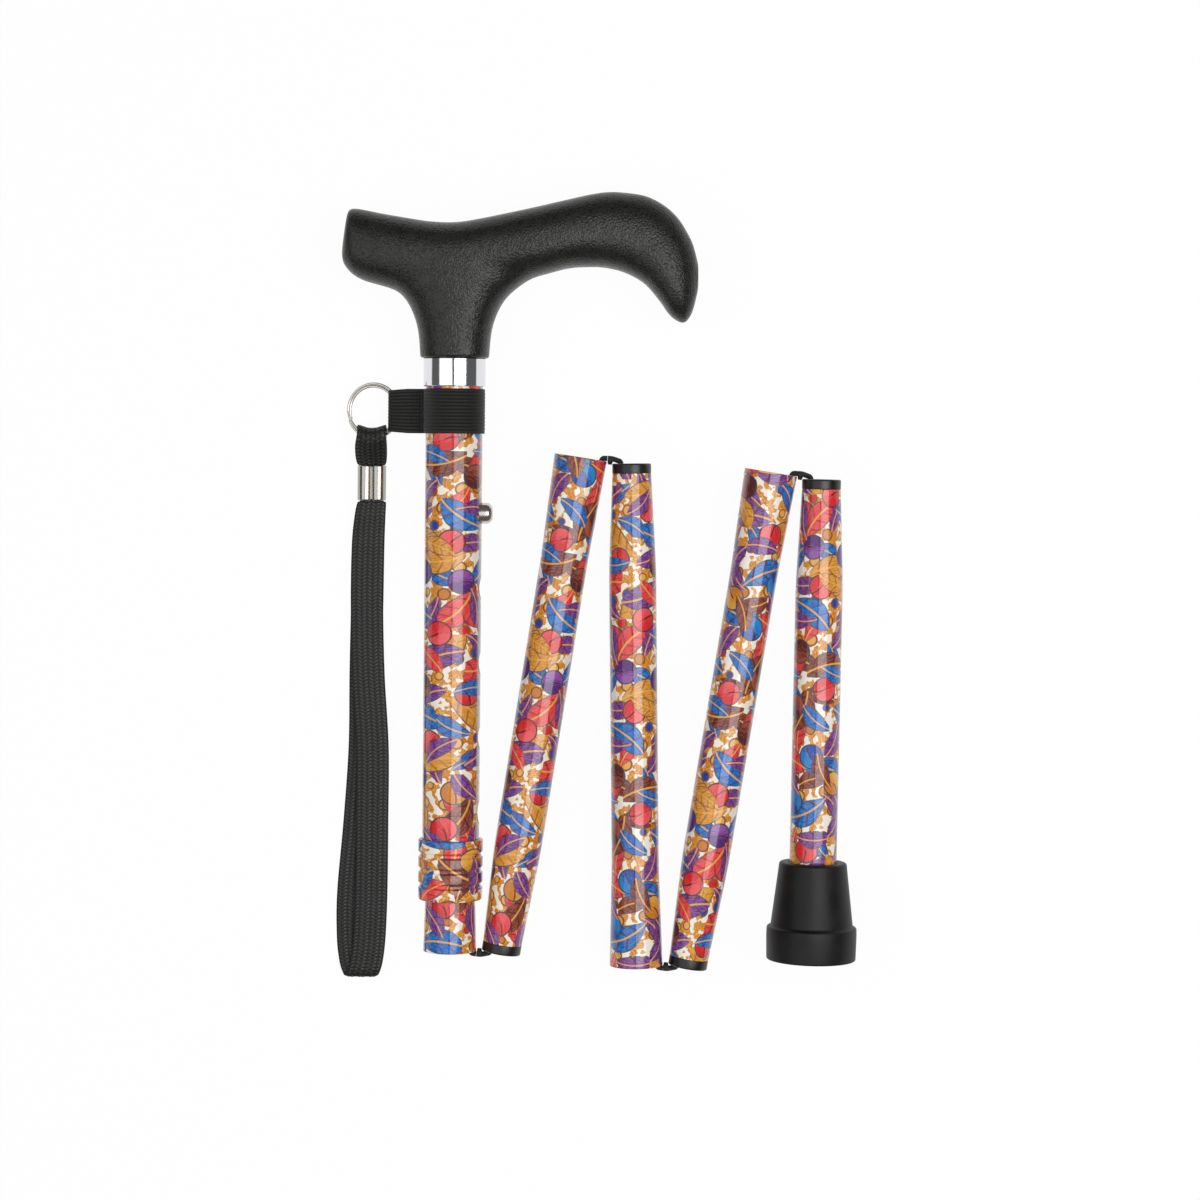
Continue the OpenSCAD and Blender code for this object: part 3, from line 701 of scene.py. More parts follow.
# Route from the tube's axis, the band and the table, with the width and the tilt in degrees at each point:
# from the split ring's top down on the upper layer, round the end and back on the lower layer to the ring
STRAP_ROUTE = [
    (-0.0285, -0.0089, 0.0089, 0.0102, 17), (-0.0286, -0.0104, 0.0087, 0.0106, 16),
    (-0.0288, -0.0124, 0.0074, 0.011, 12), (-0.0288, -0.0155, 0.0056, 0.0106, 5),
    (-0.0287, -0.0179, 0.0045, 0.0097, 1), (-0.0286, -0.019, 0.0042, 0.0078, 0),
    (-0.0286, -0.0302, 0.0042, 0.0078, 0), (-0.0286, -0.0314, 0.0042, 0.0096, 0),
    (-0.0291, -0.036, 0.004, 0.0105, 0), (-0.0297, -0.046, 0.0036, 0.0111, 0),
    (-0.0299, -0.066, 0.0035, 0.0111, 0), (-0.0292, -0.09, 0.0035, 0.0111, 0),
    (-0.0276, -0.115, 0.0035, 0.0111, 0), (-0.0275, -0.14, 0.0035, 0.0111, 0),
    (-0.0276, -0.165, 0.0035, 0.0111, 0), (-0.0281, -0.18, 0.0035, 0.0111, 0),
    (-0.0289, -0.1878, 0.0035, 0.0111, 0), (-0.0299, -0.1918, 0.0033, 0.0111, 0),
    (-0.031, -0.1932, 0.0023, 0.0111, 0), (-0.0321, -0.1918, 0.0013, 0.0111, 0),
    (-0.0331, -0.1878, 0.0011, 0.0111, 0), (-0.0339, -0.18, 0.0011, 0.0111, 0),
    (-0.0339, -0.165, 0.0011, 0.0111, 0), (-0.0319, -0.14, 0.0011, 0.0111, 0),
    (-0.0304, -0.115, 0.0011, 0.0111, 0), (-0.0303, -0.09, 0.0011, 0.0111, 0),
    (-0.03, -0.066, 0.0011, 0.0111, 0), (-0.0298, -0.046, 0.0012, 0.0111, 0),
    (-0.0292, -0.036, 0.0017, 0.0105, 0), (-0.0286, -0.0314, 0.0022, 0.0096, 0),
    (-0.0286, -0.0302, 0.0022, 0.0078, 0), (-0.0286, -0.019, 0.0022, 0.0078, 0),
    (-0.0287, -0.0179, 0.0023, 0.0097, 1), (-0.0288, -0.0155, 0.0026, 0.0106, 5),
    (-0.0288, -0.0124, 0.0034, 0.0108, 12), (-0.0286, -0.0104, 0.0041, 0.0103, 16),
    (-0.0285, -0.0089, 0.0043, 0.0104, 17), (-0.0285, -0.0074, 0.005, 0.0104, 17),
    (-0.0285, -0.0066, 0.0066, 0.0103, 17), (-0.0285, -0.0074, 0.0082, 0.0104, 17)
]
BRAID_COLUMNS = 6
COLUMN_STEPS = 4
PITCH_STEPS = 5
BRAID_HEIGHT = 0.0003
# The strap's edges lie nearer the band than its middle where it follows the ring's curve
STRAP_BOW = 0.0015
BOW_NONE_Y = -0.015
BOW_FULL_Y = -0.0096


def braid_height(across, along):
    """Height of the braid's relief at a share across the strap and a length along it."""
    column = across * BRAID_COLUMNS
    zigzag = abs(column % 2 - 1)
    strand = 0.5 + 0.5 * math.cos(math.tau * (along + BRAID_SLANT * zigzag) / BRAID_PITCH)
    seam = abs(math.sin(math.pi * column)) ** 0.35
    return BRAID_HEIGHT * (0.25 + 0.75 * strand ** 0.7) * (0.45 + 0.55 * seam)


def strap_rings():
    """Rings of points round the strap, each point's place in the braid, and the middle of each ring."""
    fine = curve_through(STRAP_ROUTE, BRAID_PITCH / PITCH_STEPS, closed=True)
    faces = both_faces(BRAID_COLUMNS * COLUMN_STEPS)
    rings, maps, middles, run = [], [], [], 0.0
    for i, here in enumerate(fine):
        ahead, back = fine[(i + 1) % len(fine)].to_3d(), fine[i - 1].to_3d()
        width, tilt = here[3], math.radians(here[4])
        wide = Vector((math.cos(tilt), 0, math.sin(tilt)))
        thick = (ahead - back).cross(wide).normalized()
        bow = STRAP_BOW * clamp((here[1] - BOW_NONE_Y) / (BOW_FULL_Y - BOW_NONE_Y))
        middle = STRAP_AT + here.to_3d()
        run += (ahead - back).length / 2
        ring, places = [], []
        for side, share in faces:
            out = 2 * share - 1
            rise = (STRAP_T / 2 - BRAID_HEIGHT) * (1 - 0.65 * abs(out) ** 6) + braid_height(share, run)
            edge = middle + out * width / 2 * wide
            ring.append(edge + side * rise * thick + Vector((0, bow * out ** 2, 0)))
            places.append((share * BRAID_COLUMNS, run / BRAID_PITCH))
        rings.append(ring)
        maps.append(places)
        middles.append(middle)
    return rings, maps, middles


def make_strap():
    rings, maps, middles = strap_rings()
    made = lofted("strap_braid", rings, True, maps, "braid", sharp_deg=180)
    return dress(made, BRAID, "braid", "strap", "wrist_strap"), middles


CRIMP_AT = STRAP_AT + Vector((-0.0286, -0.0186, 0.0032))
CRIMP_LEN = 0.012
CRIMP_WALL = 0.0004
CRIMP_LOBE_AT = 0.0021
CRIMP_HALF_W = 0.0049
CRIMP_HALF_T = 0.0032
CRIMP_SIDES = 64
CRIMP_TRIES = 30
# The sleeve's section from one end to the other: place along it and depth under its outline
CRIMP_SHELL = [
    (0.0, CRIMP_WALL), (0.0, 0.0002), (0.0002, 0.00004), (0.0005, 0), (CRIMP_LEN - 0.0005, 0),
    (CRIMP_LEN - 0.0002, 0.00004), (CRIMP_LEN, 0.0002), (CRIMP_LEN, CRIMP_WALL)
]


def crimp_outline(shrink):
    """Points round two lobes side by side, each found by halving the room between inside and outside."""
    a, b = CRIMP_HALF_W - CRIMP_LOBE_AT - shrink, CRIMP_HALF_T - shrink
    points = []
    for cos, sin in circle(CRIMP_SIDES):
        lobe = math.copysign(CRIMP_LOBE_AT, cos)
        low, high = 0.0, CRIMP_HALF_W
        for _ in range(CRIMP_TRIES):
            reach = (low + high) / 2
            inside = ((reach * cos - lobe) / a) ** 2 + (reach * sin / b) ** 2 < 1
            low, high = (reach, high) if inside else (low, reach)
        points.append((low * cos, low * sin))
    return points


def make_crimp():
    """A sleeve of two lobes, rolled in at its ends and hollow for the strap."""
    rings = [[CRIMP_AT + Vector((x, -run, z)) for x, z in crimp_outline(shrink)]
             for run, shrink in CRIMP_SHELL]
    return dress(lofted("strap_sleeve", rings, True), CRIMP_METAL, "chrome", "strap", "strap_crimp")


strap, strap_middles = make_strap()
crimp = make_crimp()

# Webbing tab and split ring

TAB_ANGLE_DEG = 17
TAB_AT = Matrix.Translation(FIRST @ Vector((0, 0, BAND_LOW + BAND_W / 2)))
TAB_AT = TAB_AT @ Matrix.Rotation(math.radians(-TAB_ANGLE_DEG), 4, "Y")
TAB_REACH = 0.024
TAB_FOLD_SHARE = 0.92
TAB_NARROW_AT = 0.0165
TAB_FOLD_STEPS = 12
RING_R = 0.00885
RING_X = -0.02931
RIBS = 13
TAB_RIB_STEPS = 5
BAND_RIB_STEPS = 6
RIB_HEIGHT = 0.00014
WEFT_PITCH = 0.0009
TAB_STEP = 0.0003
# Half of the layer's route from the band to the fold: place along the tab and height over its middle
TAB_ROUTE = [(-0.01062, 0.0024), (-0.0110, 0.0013), (-0.0118, 0.00058), (-0.0128, 0.00039), (-0.014, 0.00042),
             (-0.0154, 0.0006), (-0.0172, 0.00105), (-0.0188, 0.0014), (-0.0202, 0.00148), (-0.022, 0.00148)]


def rib_height(share):
    """Height of the webbing's ribs at a share of its width, with a firm edge on both sides."""
    edge = min(1.0, 14 * min(share, 1 - share))
    return RIB_HEIGHT * edge * abs(math.sin(math.pi * RIBS * share)) ** 0.6


def tab_line():
    """The webbing's middle line from its root round the fold and back."""
    upper = [Vector((x, 0, z)) for x, z in TAB_ROUTE]
    end = upper[-1]
    angles = [math.pi * i / TAB_FOLD_STEPS for i in range(1, TAB_FOLD_STEPS)]
    fold = [Vector((end.x - end.z * math.sin(a), 0, end.z * math.cos(a))) for a in angles]
    lower = [Vector((p.x, 0, -p.z)) for p in reversed(upper)]
    return curve_through(upper + fold + lower, TAB_STEP)


def make_tab():
    line = tab_line()
    rings, maps = [], []
    for i, here in enumerate(line):
        way = line[min(i + 1, len(line) - 1)] - line[max(i - 1, 0)]
        out = Vector((way.z, 0, -way.x)).normalized()
        narrowing = clamp((-here.x - TAB_NARROW_AT) / (TAB_REACH - TAB_NARROW_AT))
        width = BAND_W * (1 - (1 - TAB_FOLD_SHARE) * narrowing)
        ring, places = [], []
        for side, share in both_faces(RIBS * TAB_RIB_STEPS):
            rise = BAND_T / 2 - RIB_HEIGHT + rib_height(share)
            ring.append(TAB_AT @ (here + Vector((0, (share - 0.5) * width, 0)) + side * rise * out))
            places.append((share * RIBS, i * TAB_STEP / WEFT_PITCH))
        rings.append(ring)
        maps.append(places)
    made = lofted("webbing_tab", rings, False, maps, "ribs", sharp_deg=60)
    tab = dress(made, WEBBING, "webbing", None, "strap_tab")
    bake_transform(tab)


STITCHES = 9
STITCH_ROWS = (-0.0127, -0.0139)
STITCH_LEN = 0.0011
STITCH_R = 0.00016
STITCH_STEPS = 6
STITCH_SIDES = 8
STITCH_SPREAD = 0.9


def make_stitches():
    """Two rows of short stitches across both faces of the tab at its root."""
    mesh = bmesh.new()
    rise = TAB_ROUTE[3][1] + BAND_T / 2
    for x, side, i in product(STITCH_ROWS, (1, -1), range(STITCHES)):
        y = ((i + 0.5) / STITCHES - 0.5) * BAND_W * STITCH_SPREAD
        rings = []
        for step in range(STITCH_STEPS + 1):
            share = step / STITCH_STEPS
            arch = math.sin(math.pi * share)
            height = side * (rise + STITCH_R * (1.2 * arch - 0.6))
            middle = Vector((x, y + (share - 0.5) * STITCH_LEN, height))
            radius = STITCH_R * (0.6 + 0.4 * arch)
            rings.append([TAB_AT @ (middle + radius * Vector((c, 0, s))) for c, s in circle(STITCH_SIDES)])
        loft(mesh, rings)
    dress(piece("tab_stitches", mesh), THREAD, "webbing", "strap")


RING_WIRE_R = 0.00047
RING_STEP = 0.00046
RING_RISE = 0.0002
RING_TURNS = 2
RING_STEPS = 110
RING_START = math.radians(200)
# Half of the length over which one turn of wire passes to the other, as a share of a turn
RING_CROSSING = 0.06
WIRE_SIDES = 16


def make_ring():
    """A split ring: two turns of round wire side by side, with a step where one passes to the other."""
    rings = []
    for i in range(RING_TURNS * RING_STEPS + 1):
        angle = RING_START + math.tau * i / RING_STEPS
        out = Vector((math.cos(angle), math.sin(angle), 0))
        side = max(-1.0, min(1.0, (i - RING_TURNS * RING_STEPS / 2) / (RING_CROSSING * RING_STEPS)))
        middle = Vector((RING_X, 0, side * RING_RISE)) + (RING_R - side * RING_STEP) * out
        rings.append([TAB_AT @ (middle + RING_WIRE_R * (c * out + Vector((0, 0, s))))
                      for c, s in circle(WIRE_SIDES)])
    dress(lofted("split_ring", rings), NICKEL, "chrome", "strap", "strap_ring")


make_tab()
make_stitches()
make_ring()

# Band, collar, tubes and tip
# Where the print starts on a tube, as a share of its repeat round the tube
UPPER_SHIFT = 0.31
INNER_SHIFT = 0.83
LOCK_SHIFT = 0.12
SECTION_SHIFT = 0.47


def turned_piece(name, place, corners, *finish, print_shift=0.0):
    """A turned piece from its corners, with its material, slot, body and CAD node; the slot is not used."""
    return dress(lathe(name, place, rounded(corners), print_shift), *finish)


def make_band():
    """The webbing band, ribbed round the tube."""
    inner, outer = UPPER_R + FIT_ROOM, UPPER_R + BAND_T + FIT_ROOM
    steps = RIBS * BAND_RIB_STEPS
    ribs = [(outer - RIB_HEIGHT + rib_height(i / steps), i / steps) for i in range(steps + 1)]
    outline = [(inner, 0.0)] + ribs + [(inner, 1.0)]
    rings, maps = [], []
    for i in range(ROUND_SIDES):
        angle = math.tau * i / ROUND_SIDES
        rings.append([FIRST @ Vector((r * math.cos(angle), r * math.sin(angle), BAND_LOW + share * BAND_W))
                      for r, share in outline])
        maps.append([(share * RIBS, angle * outer / WEFT_PITCH) for _, share in outline])
    made = lofted("webbing_band", rings, True, maps, "ribs", sharp_deg=60)
    dress(made, WEBBING, "webbing", "upper", "strap_band")


def make_collar():
    low, inner, edge = NECK_Z - COLLAR_H, UPPER_R + FIT_ROOM, 0.0005
    corners = [(inner, low, 0), (COLLAR_R, low, edge), (COLLAR_R, NECK_Z, edge), (inner, NECK_Z, 0)]
    turned_piece("bright_collar", FIRST, corners, CHROME, "chrome", "upper", "neck_collar")


def make_upper_tube():
    """The printed tube with its adjusting holes."""
    inner, edge = UPPER_R - UPPER_WALL, 0.0002
    corners = [(inner, UPPER_FOOT, 0), (UPPER_R, UPPER_FOOT, edge), (UPPER_R, UPPER_TOP, edge),
               (inner, UPPER_TOP, 0)]
    tube = lathe("upper_stem", FIRST, rounded(corners), UPPER_SHIFT)
    cutter = bmesh.new()
    across = Matrix.Rotation(math.pi / 2, 4, "Y")
    for i in range(HOLE_COUNT):
        at = Matrix.Translation((UPPER_R, 0, HOLE_LOW + i * HOLE_PITCH)) @ across
        bmesh.ops.create_cone(cutter, cap_ends=True, segments=HOLE_SIDES, radius1=HOLE_R, radius2=HOLE_R,
                              depth=HOLE_DEPTH, matrix=at)
    cut_away(tube, piece("hole_cutter", cutter, FIRST))
    dress(tube, PRINT, "printed_tube", "upper", "upper_tube")


def make_inner_tube():
    """The sliding tube, flared at its mouth."""
    inner, flare = TUBE_R - TUBE_WALL, 0.004
    corners = [(MOUTH_R - TUBE_WALL, 0, 0.0001), (MOUTH_R, 0, 0.0003), (TUBE_R, FLARE_LEN, flare),
               (TUBE_R, INNER_TOP, 0.0002), (inner, INNER_TOP, 0), (inner, FLARE_LEN, flare)]
    turned_piece("inner_stem", FIRST, corners, PRINT, "printed_tube", "adjuster", "inner_tube",
                 print_shift=INNER_SHIFT)


def make_lower_tube(number):
    """A section's tube: necked at its capped end, flared at its mouth unless it ends in the tip."""
    length = TUBE_FOOT if number == LAST else SECTION_LEN
    inner, shoulder, bend = TUBE_R - TUBE_WALL, CAP_LEN + NECKED_LEN, 0.006
    corners = [(NECKED_R - TUBE_WALL, CAP_LEN, 0), (NECKED_R, CAP_LEN, 0.0003), (TUBE_R, shoulder, bend)]
    if number == LAST:
        corners += [(TUBE_R, length, 0.0002), (inner, length, 0)]
    else:
        corners += [(TUBE_R, length - FLARE_LEN, bend), (MOUTH_R, length, 0.0003),
                    (MOUTH_R - TUBE_WALL, length, 0.0001), (inner, length - FLARE_LEN, bend)]
    corners.append((inner, shoulder, bend))
    turned_piece(f"stem_{number}", SECTIONS[number], corners, PRINT, "printed_tube", f"section_{number}",
                 f"tube_{number}", print_shift=SECTION_SHIFT * number)


def make_cap(number):
    """The plastic cap in a section's necked end, bored for the cord."""
    spigot_r, top = NECKED_R - TUBE_WALL - FIT_ROOM, CAP_LEN + SPIGOT_LEN
    corners = [(CAP_BORE_R, 0, 0.0005), (NECKED_R, 0, 0.0006), (NECKED_R, CAP_LEN, 0.0002),
               (spigot_r, CAP_LEN, 0), (spigot_r, top, 0.0004), (CAP_BORE_R, top, 0)]
    turned_piece(f"cap_{number}", SECTIONS[number], corners, CAP_PLASTIC, "end_cap", f"section_{number}",
                 f"end_cap_{number}")


LOCK_BANDS = 4
LOCK_GROOVE = 0.0006
LOCK_GROOVE_W = 0.0012
LOCK_EDGE = 0.0003


def make_lock_collar():
    """The screw collar: four bands with narrow crisp grooves between them, over the upper tube's foot."""
    high, lip, bottom = LOCK_Z + LOCK_H, LOCK_Z + LOCK_LIP_H, LOCK_R - LOCK_GROOVE
    corners = [(LOCK_LIP_R, LOCK_Z, 0.0002), (LOCK_R - 0.0002, LOCK_Z, 0.0006)]
    for band in range(1, LOCK_BANDS):
        middle = LOCK_Z + band * (LOCK_H / LOCK_BANDS)
        low, top = middle - LOCK_GROOVE_W / 2, middle + LOCK_GROOVE_W / 2
        corners += [(LOCK_R, low - LOCK_EDGE, LOCK_EDGE), (bottom, low, LOCK_EDGE),
                    (bottom, top, LOCK_EDGE), (LOCK_R, top + LOCK_EDGE, LOCK_EDGE)]
    corners += [(LOCK_R, high, 0.0006), (LOCK_BORE_R, high, LOCK_EDGE), (LOCK_BORE_R, lip, 0),
                (LOCK_LIP_R, lip, 0)]
    turned_piece("screw_collar", FIRST, corners, PRINT, "printed_collar", "lock", "lock_collar",
                 print_shift=LOCK_SHIFT)


# The rings in the sole: their radii as shares of the foot's, half widths outside and in, and depth
SOLE_RINGS = (0.82, 0.6, 0.38)
SOLE_RING_OUT = 0.0011
SOLE_RING_IN = 0.0008
SOLE_RING_DEPTH = 0.0012
SOLE_RING_EDGE = 0.0003


def make_tip():
    """The rubber ferrule, with soft edges, a stepped foot and rings in its sole."""
    end, bore = LAST_LEN, TUBE_R + FIT_ROOM
    seat, top, foot, deep = end - TIP_SOLE, end - TIP_H, end - TIP_FOOT_H, end - SOLE_RING_DEPTH
    corners = [(0, seat, 0), (bore, seat, 0), (bore, top, 0.0006), (TIP_NECK_R - 0.0002, top, 0.0012),
               (TIP_NECK_R, top + 0.002, 0.001), (TIP_CONE_R, foot, 0.0006),
               (TIP_R - 0.0001, foot + 0.0004, 0.0009), (TIP_R, foot + 0.003, 0.001),
               (TIP_R - 0.0002, end, 0.0016)]
    for share in SOLE_RINGS:
        ring = share * TIP_R
        corners += [(ring + side, height, SOLE_RING_EDGE) for side, height in (
            (SOLE_RING_OUT, end), (SOLE_RING_IN, deep), (-SOLE_RING_IN, deep), (-SOLE_RING_OUT, end))]
    corners.append((0, end, 0))
    turned_piece("ferrule", SECTIONS[LAST], corners, RUBBER, "rubber", f"section_{LAST}", "rubber_tip")


BUTTON_CORNER = 0.0022
FLANGE_R = 0.00439
FLANGE_LOW = 0.00438
FLANGE_T = 0.001
BUTTON_STEPS = 12
BUTTON_SIDES = 48


def make_button():
    """The domed button, in its own frame across the upper tube."""
    place = FIRST @ Matrix.Translation((0, 0, BUTTON_Z)) @ Matrix.Rotation(math.pi / 2, 4, "Y")
    tip, flange, edge = UPPER_R + BUTTON_OUT, FLANGE_LOW + FLANGE_T, 0.0002
    outline = rounded([(0, FLANGE_LOW, 0), (FLANGE_R, FLANGE_LOW, edge), (FLANGE_R, flange, edge),
                       (BUTTON_R, flange, edge)])
    for i in range(BUTTON_STEPS + 1):
        angle = math.pi / 2 * i / BUTTON_STEPS
        outline.append((BUTTON_R - BUTTON_CORNER * (1 - math.cos(angle)),
                        tip - BUTTON_CORNER * (1 - math.sin(angle))))
    outline.append((0, tip))
    dress(lathe("press_button", place, outline, sides=BUTTON_SIDES), NICKEL, "chrome", "button", "snap_button")


make_band()
make_collar()
make_upper_tube()
make_inner_tube()
for section in SECTIONS:
    make_lower_tube(section)
    make_cap(section)
make_lock_collar()
make_tip()
make_button()

# Elastic cord

CORD_SIDES = 16
SLEEVE_STRANDS = 8
SLEEVE_PITCH = 0.0011
RUN_STEP = 0.002
BEND_STEP = 0.0001
BEND_STEPS = 8
RIM_ROOM = 0.00005
BEND_HALF = 0.0009
CAP_RIM = 0.0017
GAP_SINK = 0.0012
DIP_STEEPNESS = 2.2
# What a seated section takes off the run in the mouth
SEAT_SHRINK = 0.04
BEND_BULGE = 0.0003


def cord_piece(name, points, step, pressed=CORD_R, sunk=None, kept=None):
    """A cord along a smooth line of points: round at both ends, pressed flat and sunk between them.

    Only the points that kept says yes to are made.
    """
    line = curve_through(points, step)
    rings, maps = [], []
    for i, here in enumerate(line):
        way = line[min(i + 1, len(line) - 1)] - line[max(i - 1, 0)]
        flat = Vector((way.y, -way.x, 0)).normalized()
        up = flat.cross(way).normalized()
        if kept and not kept(here):
            continue
        from_end = min(i, len(line) - 1 - i) * step
        half = CORD_R + (pressed - CORD_R) * min(1, from_end / CORD_IN)
        extra = sunk(here) if sunk else Vector()
        ring = []
        for cos, sin in circle(CORD_SIDES):
            side = cos * flat
            inner = max(0, side.dot(extra.normalized()))
            ring.append(here + half * side + CORD_R * sin * up + inner * extra)
        rings.append(ring)
        maps.append([(SLEEVE_STRANDS * k / CORD_SIDES, i * step / SLEEVE_PITCH) for k in range(CORD_SIDES)])
    return lofted(name, rings, False, maps, "sleeve", sharp_deg=70)


HEADS = [axes_at(MOUTH, Vector((0, -1, 0)))]
HEADS += [SECTIONS[number] @ Matrix.Translation((0, 0, SECTION_LEN)) for number in (2, 3, 4)]
MOUTH_CORD_X = MOUTH_R - TUBE_WALL - CORD_R - CORD_ROOM
CAP_CORD_X = CAP_BORE_R - CORD_R - CORD_ROOM


def make_bend(index, parent):
    """The cord's bend out of a mouth, over both rims and into the next section's cap."""
    turn, mouth, cap = TURNS[index], HEADS[index], SECTIONS[index + 2]
    reach = BEND_HALF + RIM_ROOM
    mouth_corner = mouth @ Vector((turn * (MOUTH_R - TUBE_WALL), 0, 0))
    cap_corner = cap @ Vector((turn * CAP_BORE_R, 0, 0))
    inside_mouth = -turn * mouth.to_3x3().col[0]
    inside_cap = -turn * cap.to_3x3().col[0]
    run = (cap_corner - mouth_corner).normalized()
    over = -turn * Vector((run.y, -run.x, 0))
    points = [mouth @ Vector((turn * MOUTH_CORD_X, 0, -CORD_IN))]
    for corner, first, last in ((mouth_corner, inside_mouth, over), (cap_corner, over, inside_cap)):
        for step in range(BEND_STEPS + 1):
            share = step / BEND_STEPS
            points.append(corner + reach * (first + (last - first) * share).normalized())
        if corner is mouth_corner:
            points.append((mouth_corner + cap_corner) / 2 + (reach + BEND_BULGE) * over)
    points.append(cap @ Vector((turn * CAP_CORD_X, 0, CORD_IN)))
    gap_end = (cap_corner - mouth_corner).length - CAP_RIM

    def past(here):
        """How far a point of the cord lies beyond the mouth's bore, towards the cap."""
        return (here - mouth_corner).dot(run)

    def sunk(here):
        """How far the cord is pressed down between the outer edges of mouth and cap."""
        share = (past(here) - TUBE_WALL) / (gap_end - TUBE_WALL)
        depth = min(1, DIP_STEEPNESS * math.sin(math.pi * share)) if 0 < share < 1 else 0
        return -GAP_SINK * depth * over

    fold = FOLDS[index]
    shape = (points, BEND_STEP, BEND_HALF, sunk)
    over_rim = cord_piece(f"elastic_rim_{fold}", *shape, lambda p: past(p) <= TUBE_WALL)
    dress(over_rim, SLEEVE, "elastic", parent)
    mouth @ Vector((0, 0, -CORD_IN))
    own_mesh(over_rim)
    into_cap = cord_piece(f"elastic_bend_{fold}", *shape, lambda p: past(p) > TUBE_WALL)
    dress(into_cap, SLEEVE, "elastic", f"section_{index + 2}", f"cord_bend_{fold}")


def make_run(name, node, body, fixed, free, joint=None):
    """The cord inside a tube, from its fixed end to its free end, where the next section plugs in."""
    run = cord_piece(name, [fixed, (fixed + free) / 2, free], RUN_STEP)
    dress(run, SLEEVE, "elastic", body, node)
    if joint:
        free - fixed
        1 - SEAT_SHRINK / (free - fixed).length
        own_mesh(run)


for fold_index, above in enumerate(("adjuster", "section_2", "section_3", "section_4")):
    make_bend(fold_index, above)
make_run("elastic_run_1", "cord_1", "adjuster", FIRST @ Vector((0, 0, ANCHOR_Z)),
         FIRST @ Vector((-TURNS[0] * MOUTH_CORD_X, 0, CORD_IN)), "seat_a")
for section, place in SECTIONS.items():
    near = place @ Vector((TURNS[section - 2] * CAP_CORD_X, 0, CORD_IN))
    if section == LAST:
        far, joint = place @ Vector((0, 0, FOOT_PLUG_Z)), None
    else:
        far = place @ Vector((TURNS[section - 1] * MOUTH_CORD_X, 0, SECTION_LEN - CORD_IN))
        joint = f"seat_{FOLDS[section - 1]}"
    make_run(f"elastic_run_{section}", f"cord_{section}", f"section_{section}", near, far, joint)

# Handle

RING_SIDES = 40
GRIP_SQUARE = 0.8
GRIP_STEP = 0.012
# Sections of the handle from tail to nose: place along it, underside, top and thickness, as shares
GRIP_SHARES = [
    (0, 0.575, 0.66, 0.42), (0.005, 0.55, 0.745, 0.58), (0.01, 0.535, 0.82, 0.68), (0.016, 0.52, 0.876, 0.75),
    (0.03, 0.492, 0.888, 0.82), (0.06, 0.457, 0.881, 0.87), (0.1, 0.433, 0.864, 0.91),
    (0.17, 0.397, 0.839, 0.95), (0.25, 0.397, 0.815, 0.98), (0.32, 0.403, 0.813, 1), (0.39, 0.43, 0.837, 1),
    (0.465, 0.457, 0.871, 1), (0.545, 0.49, 0.909, 1), (0.63, 0.54, 0.952, 0.99), (0.7, 0.552, 0.986, 0.97),
    (0.75, 0.544, 1, 0.95), (0.8, 0.514, 0.995, 0.93), (0.85, 0.453, 0.978, 0.9), (0.89, 0.357, 0.94, 0.87),
    (0.92, 0.27, 0.895, 0.83), (0.945, 0.23, 0.84, 0.77), (0.965, 0.226, 0.775, 0.68),
    (0.985, 0.29, 0.69, 0.52), (1, 0.42, 0.57, 0.3)
]
# Sections of the handle's neck from the collar up: height, half width and half thickness, as shares
NECK_SHARES = [
    (0, 1, 1), (0.05, 1.01, 1), (0.14, 1.05, 1.01), (0.2, 1.11, 1.03), (0.25, 1.19, 1.05), (0.3, 1.3, 1.07),
    (0.35, 1.44, 1.09), (0.4, 1.68, 1.11), (0.44, 1.92, 1.12), (0.475, 2.17, 1.13), (0.5, 2.3, 1.13),
    (0.55, 2.05, 1.15), (0.62, 1.5, 1.15)
]
NECK_SQUARE = 0.82
NECK_STEP = 0.03
HANDLE_VOXEL = 0.0006
HANDLE_SOFTEN = 8
JUNCTION_SOFTEN = 150
# Where the fillet's weight ends and how far it fades: below and above, as shares, and to the sides
JUNCTION_LOW, JUNCTION_LOW_FADE = 0.12, 0.15
JUNCTION_HIGH, JUNCTION_HIGH_FADE = 0.66, 0.12
JUNCTION_SIDE, JUNCTION_SIDE_FADE = 0.034, 0.008
BORE_CUT = 0.01


def oval(half_a, half_b, power):
    """Points round an oval, the squarer the smaller its power is."""
    return [(half_a * math.copysign(abs(cos) ** power, cos), half_b * math.copysign(abs(sin) ** power, sin))
            for cos, sin in circle(RING_SIDES)]


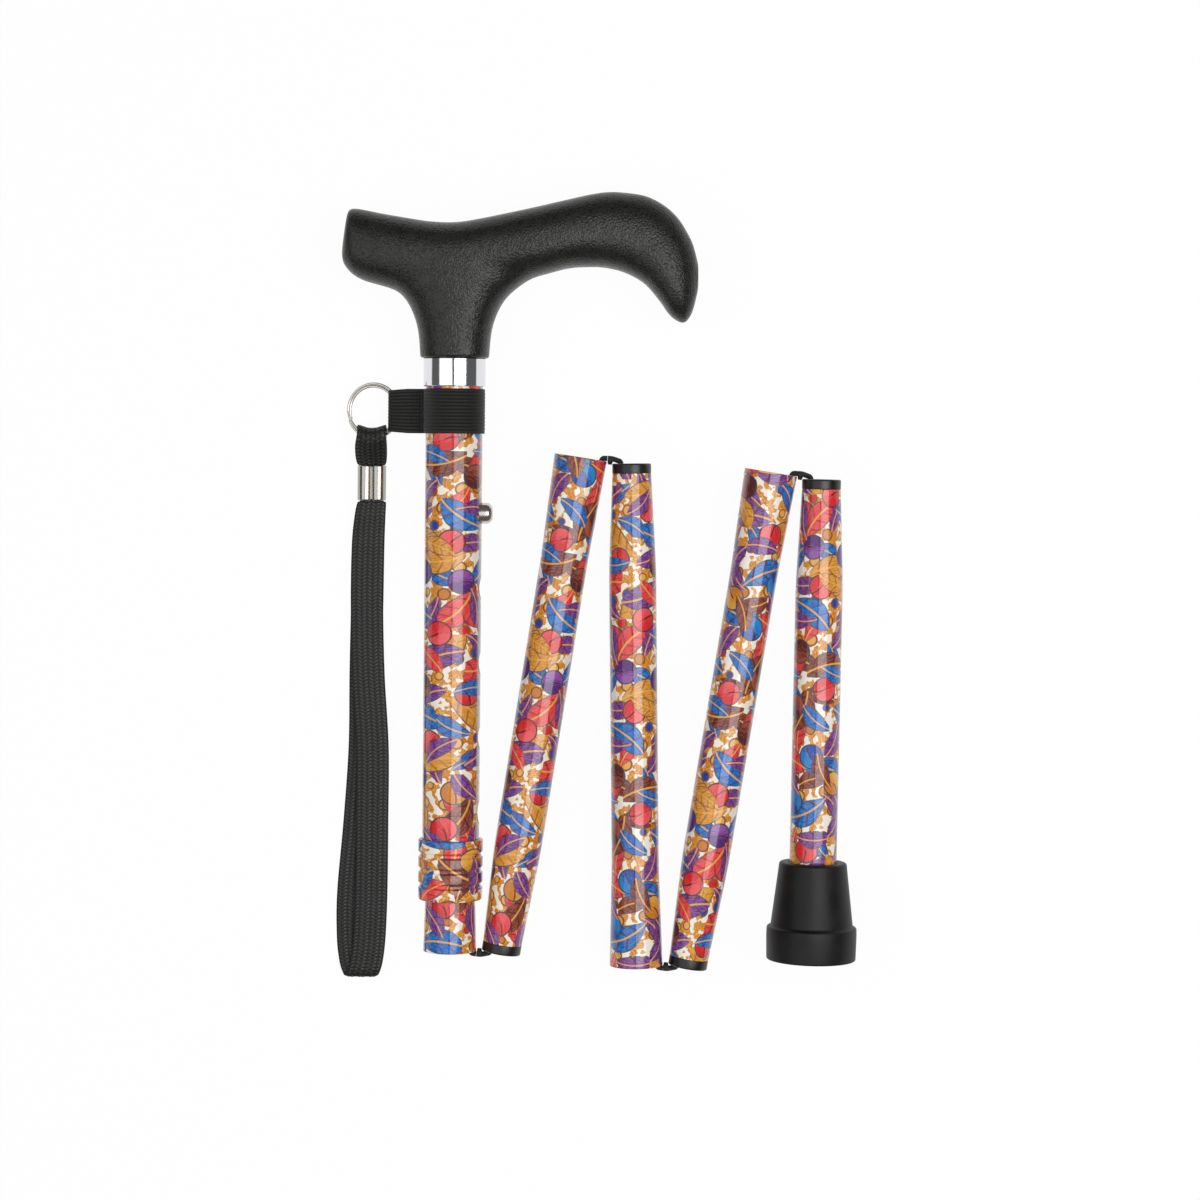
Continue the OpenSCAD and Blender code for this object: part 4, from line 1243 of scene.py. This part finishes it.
def mark_junction(handle):
    """Weights the points where the neck runs into the grip, for a broad fillet there."""
    group = handle.vertex_groups.new(name="junction")
    for point in handle.data.vertices:
        height = (point.co.z - NECK_Z) / HANDLE_H
        weight = clamp((height - JUNCTION_LOW) / JUNCTION_LOW_FADE)
        weight *= clamp((JUNCTION_HIGH - height) / JUNCTION_HIGH_FADE)
        weight *= clamp((JUNCTION_SIDE - abs(point.co.x)) / JUNCTION_SIDE_FADE)
        if weight > 0:
            group.add([point.index], weight, "REPLACE")


def make_handle():
    """The grip and the neck as one smooth moulding, bored for the tube."""
    mesh = bmesh.new()
    grip = []
    for along, low, high, thick in curve_through(GRIP_SHARES, GRIP_STEP):
        low, high = low * HANDLE_H, high * HANDLE_H
        grip.append([(along * HANDLE_LEN - HANDLE_TAIL, y, NECK_Z + (low + high) / 2 + z)
                     for z, y in oval((high - low) / 2, thick * HANDLE_W / 2, GRIP_SQUARE)])
    neck = [[(x, y, NECK_Z + height * HANDLE_H) for x, y in oval(wide * NECK_R, thick * NECK_R, NECK_SQUARE)]
            for height, wide, thick in curve_through(NECK_SHARES, NECK_STEP)]
    loft(mesh, grip)
    loft(mesh, neck)
    handle = piece("handle_moulding", mesh, FIRST)
    merge = handle.modifiers.new("merge", "REMESH")
    merge.mode = "VOXEL"
    merge.voxel_size = HANDLE_VOXEL
    fix_modifiers(handle)
    mark_junction(handle)
    for name, iterations, group in (("soften", HANDLE_SOFTEN, ""), ("fillet", JUNCTION_SOFTEN, "junction")):
        soften = handle.modifiers.new(name, "SMOOTH")
        soften.factor = 0.5
        soften.iterations = iterations
        soften.vertex_group = group
    fix_modifiers(handle)
    handle.data.polygons.foreach_set("use_smooth", [True] * len(handle.data.polygons))
    radius, low, high = UPPER_R + FIT_ROOM, NECK_Z - BORE_CUT, NECK_Z + HANDLE_BORE + FIT_ROOM
    cut_away(handle, lathe("bore_cutter", FIRST, [(0, low), (radius, low), (radius, high), (0, high)]))
    dress(handle, PLASTIC, "handle", "upper", "handle_grip")


make_handle()

# Inner pieces that keep their CAD shape

for material, nodes in ((NYLON, ("grip_ring", "guide_bush", "cord_anchor", "foot_plug")),
                        (STEEL, ("button_spring", "tip_washer"))):
    for node in nodes:
        inner_piece = frame["nodes"][node]
        inner_piece.data.materials.clear()
        inner_piece.data.materials.append(material)
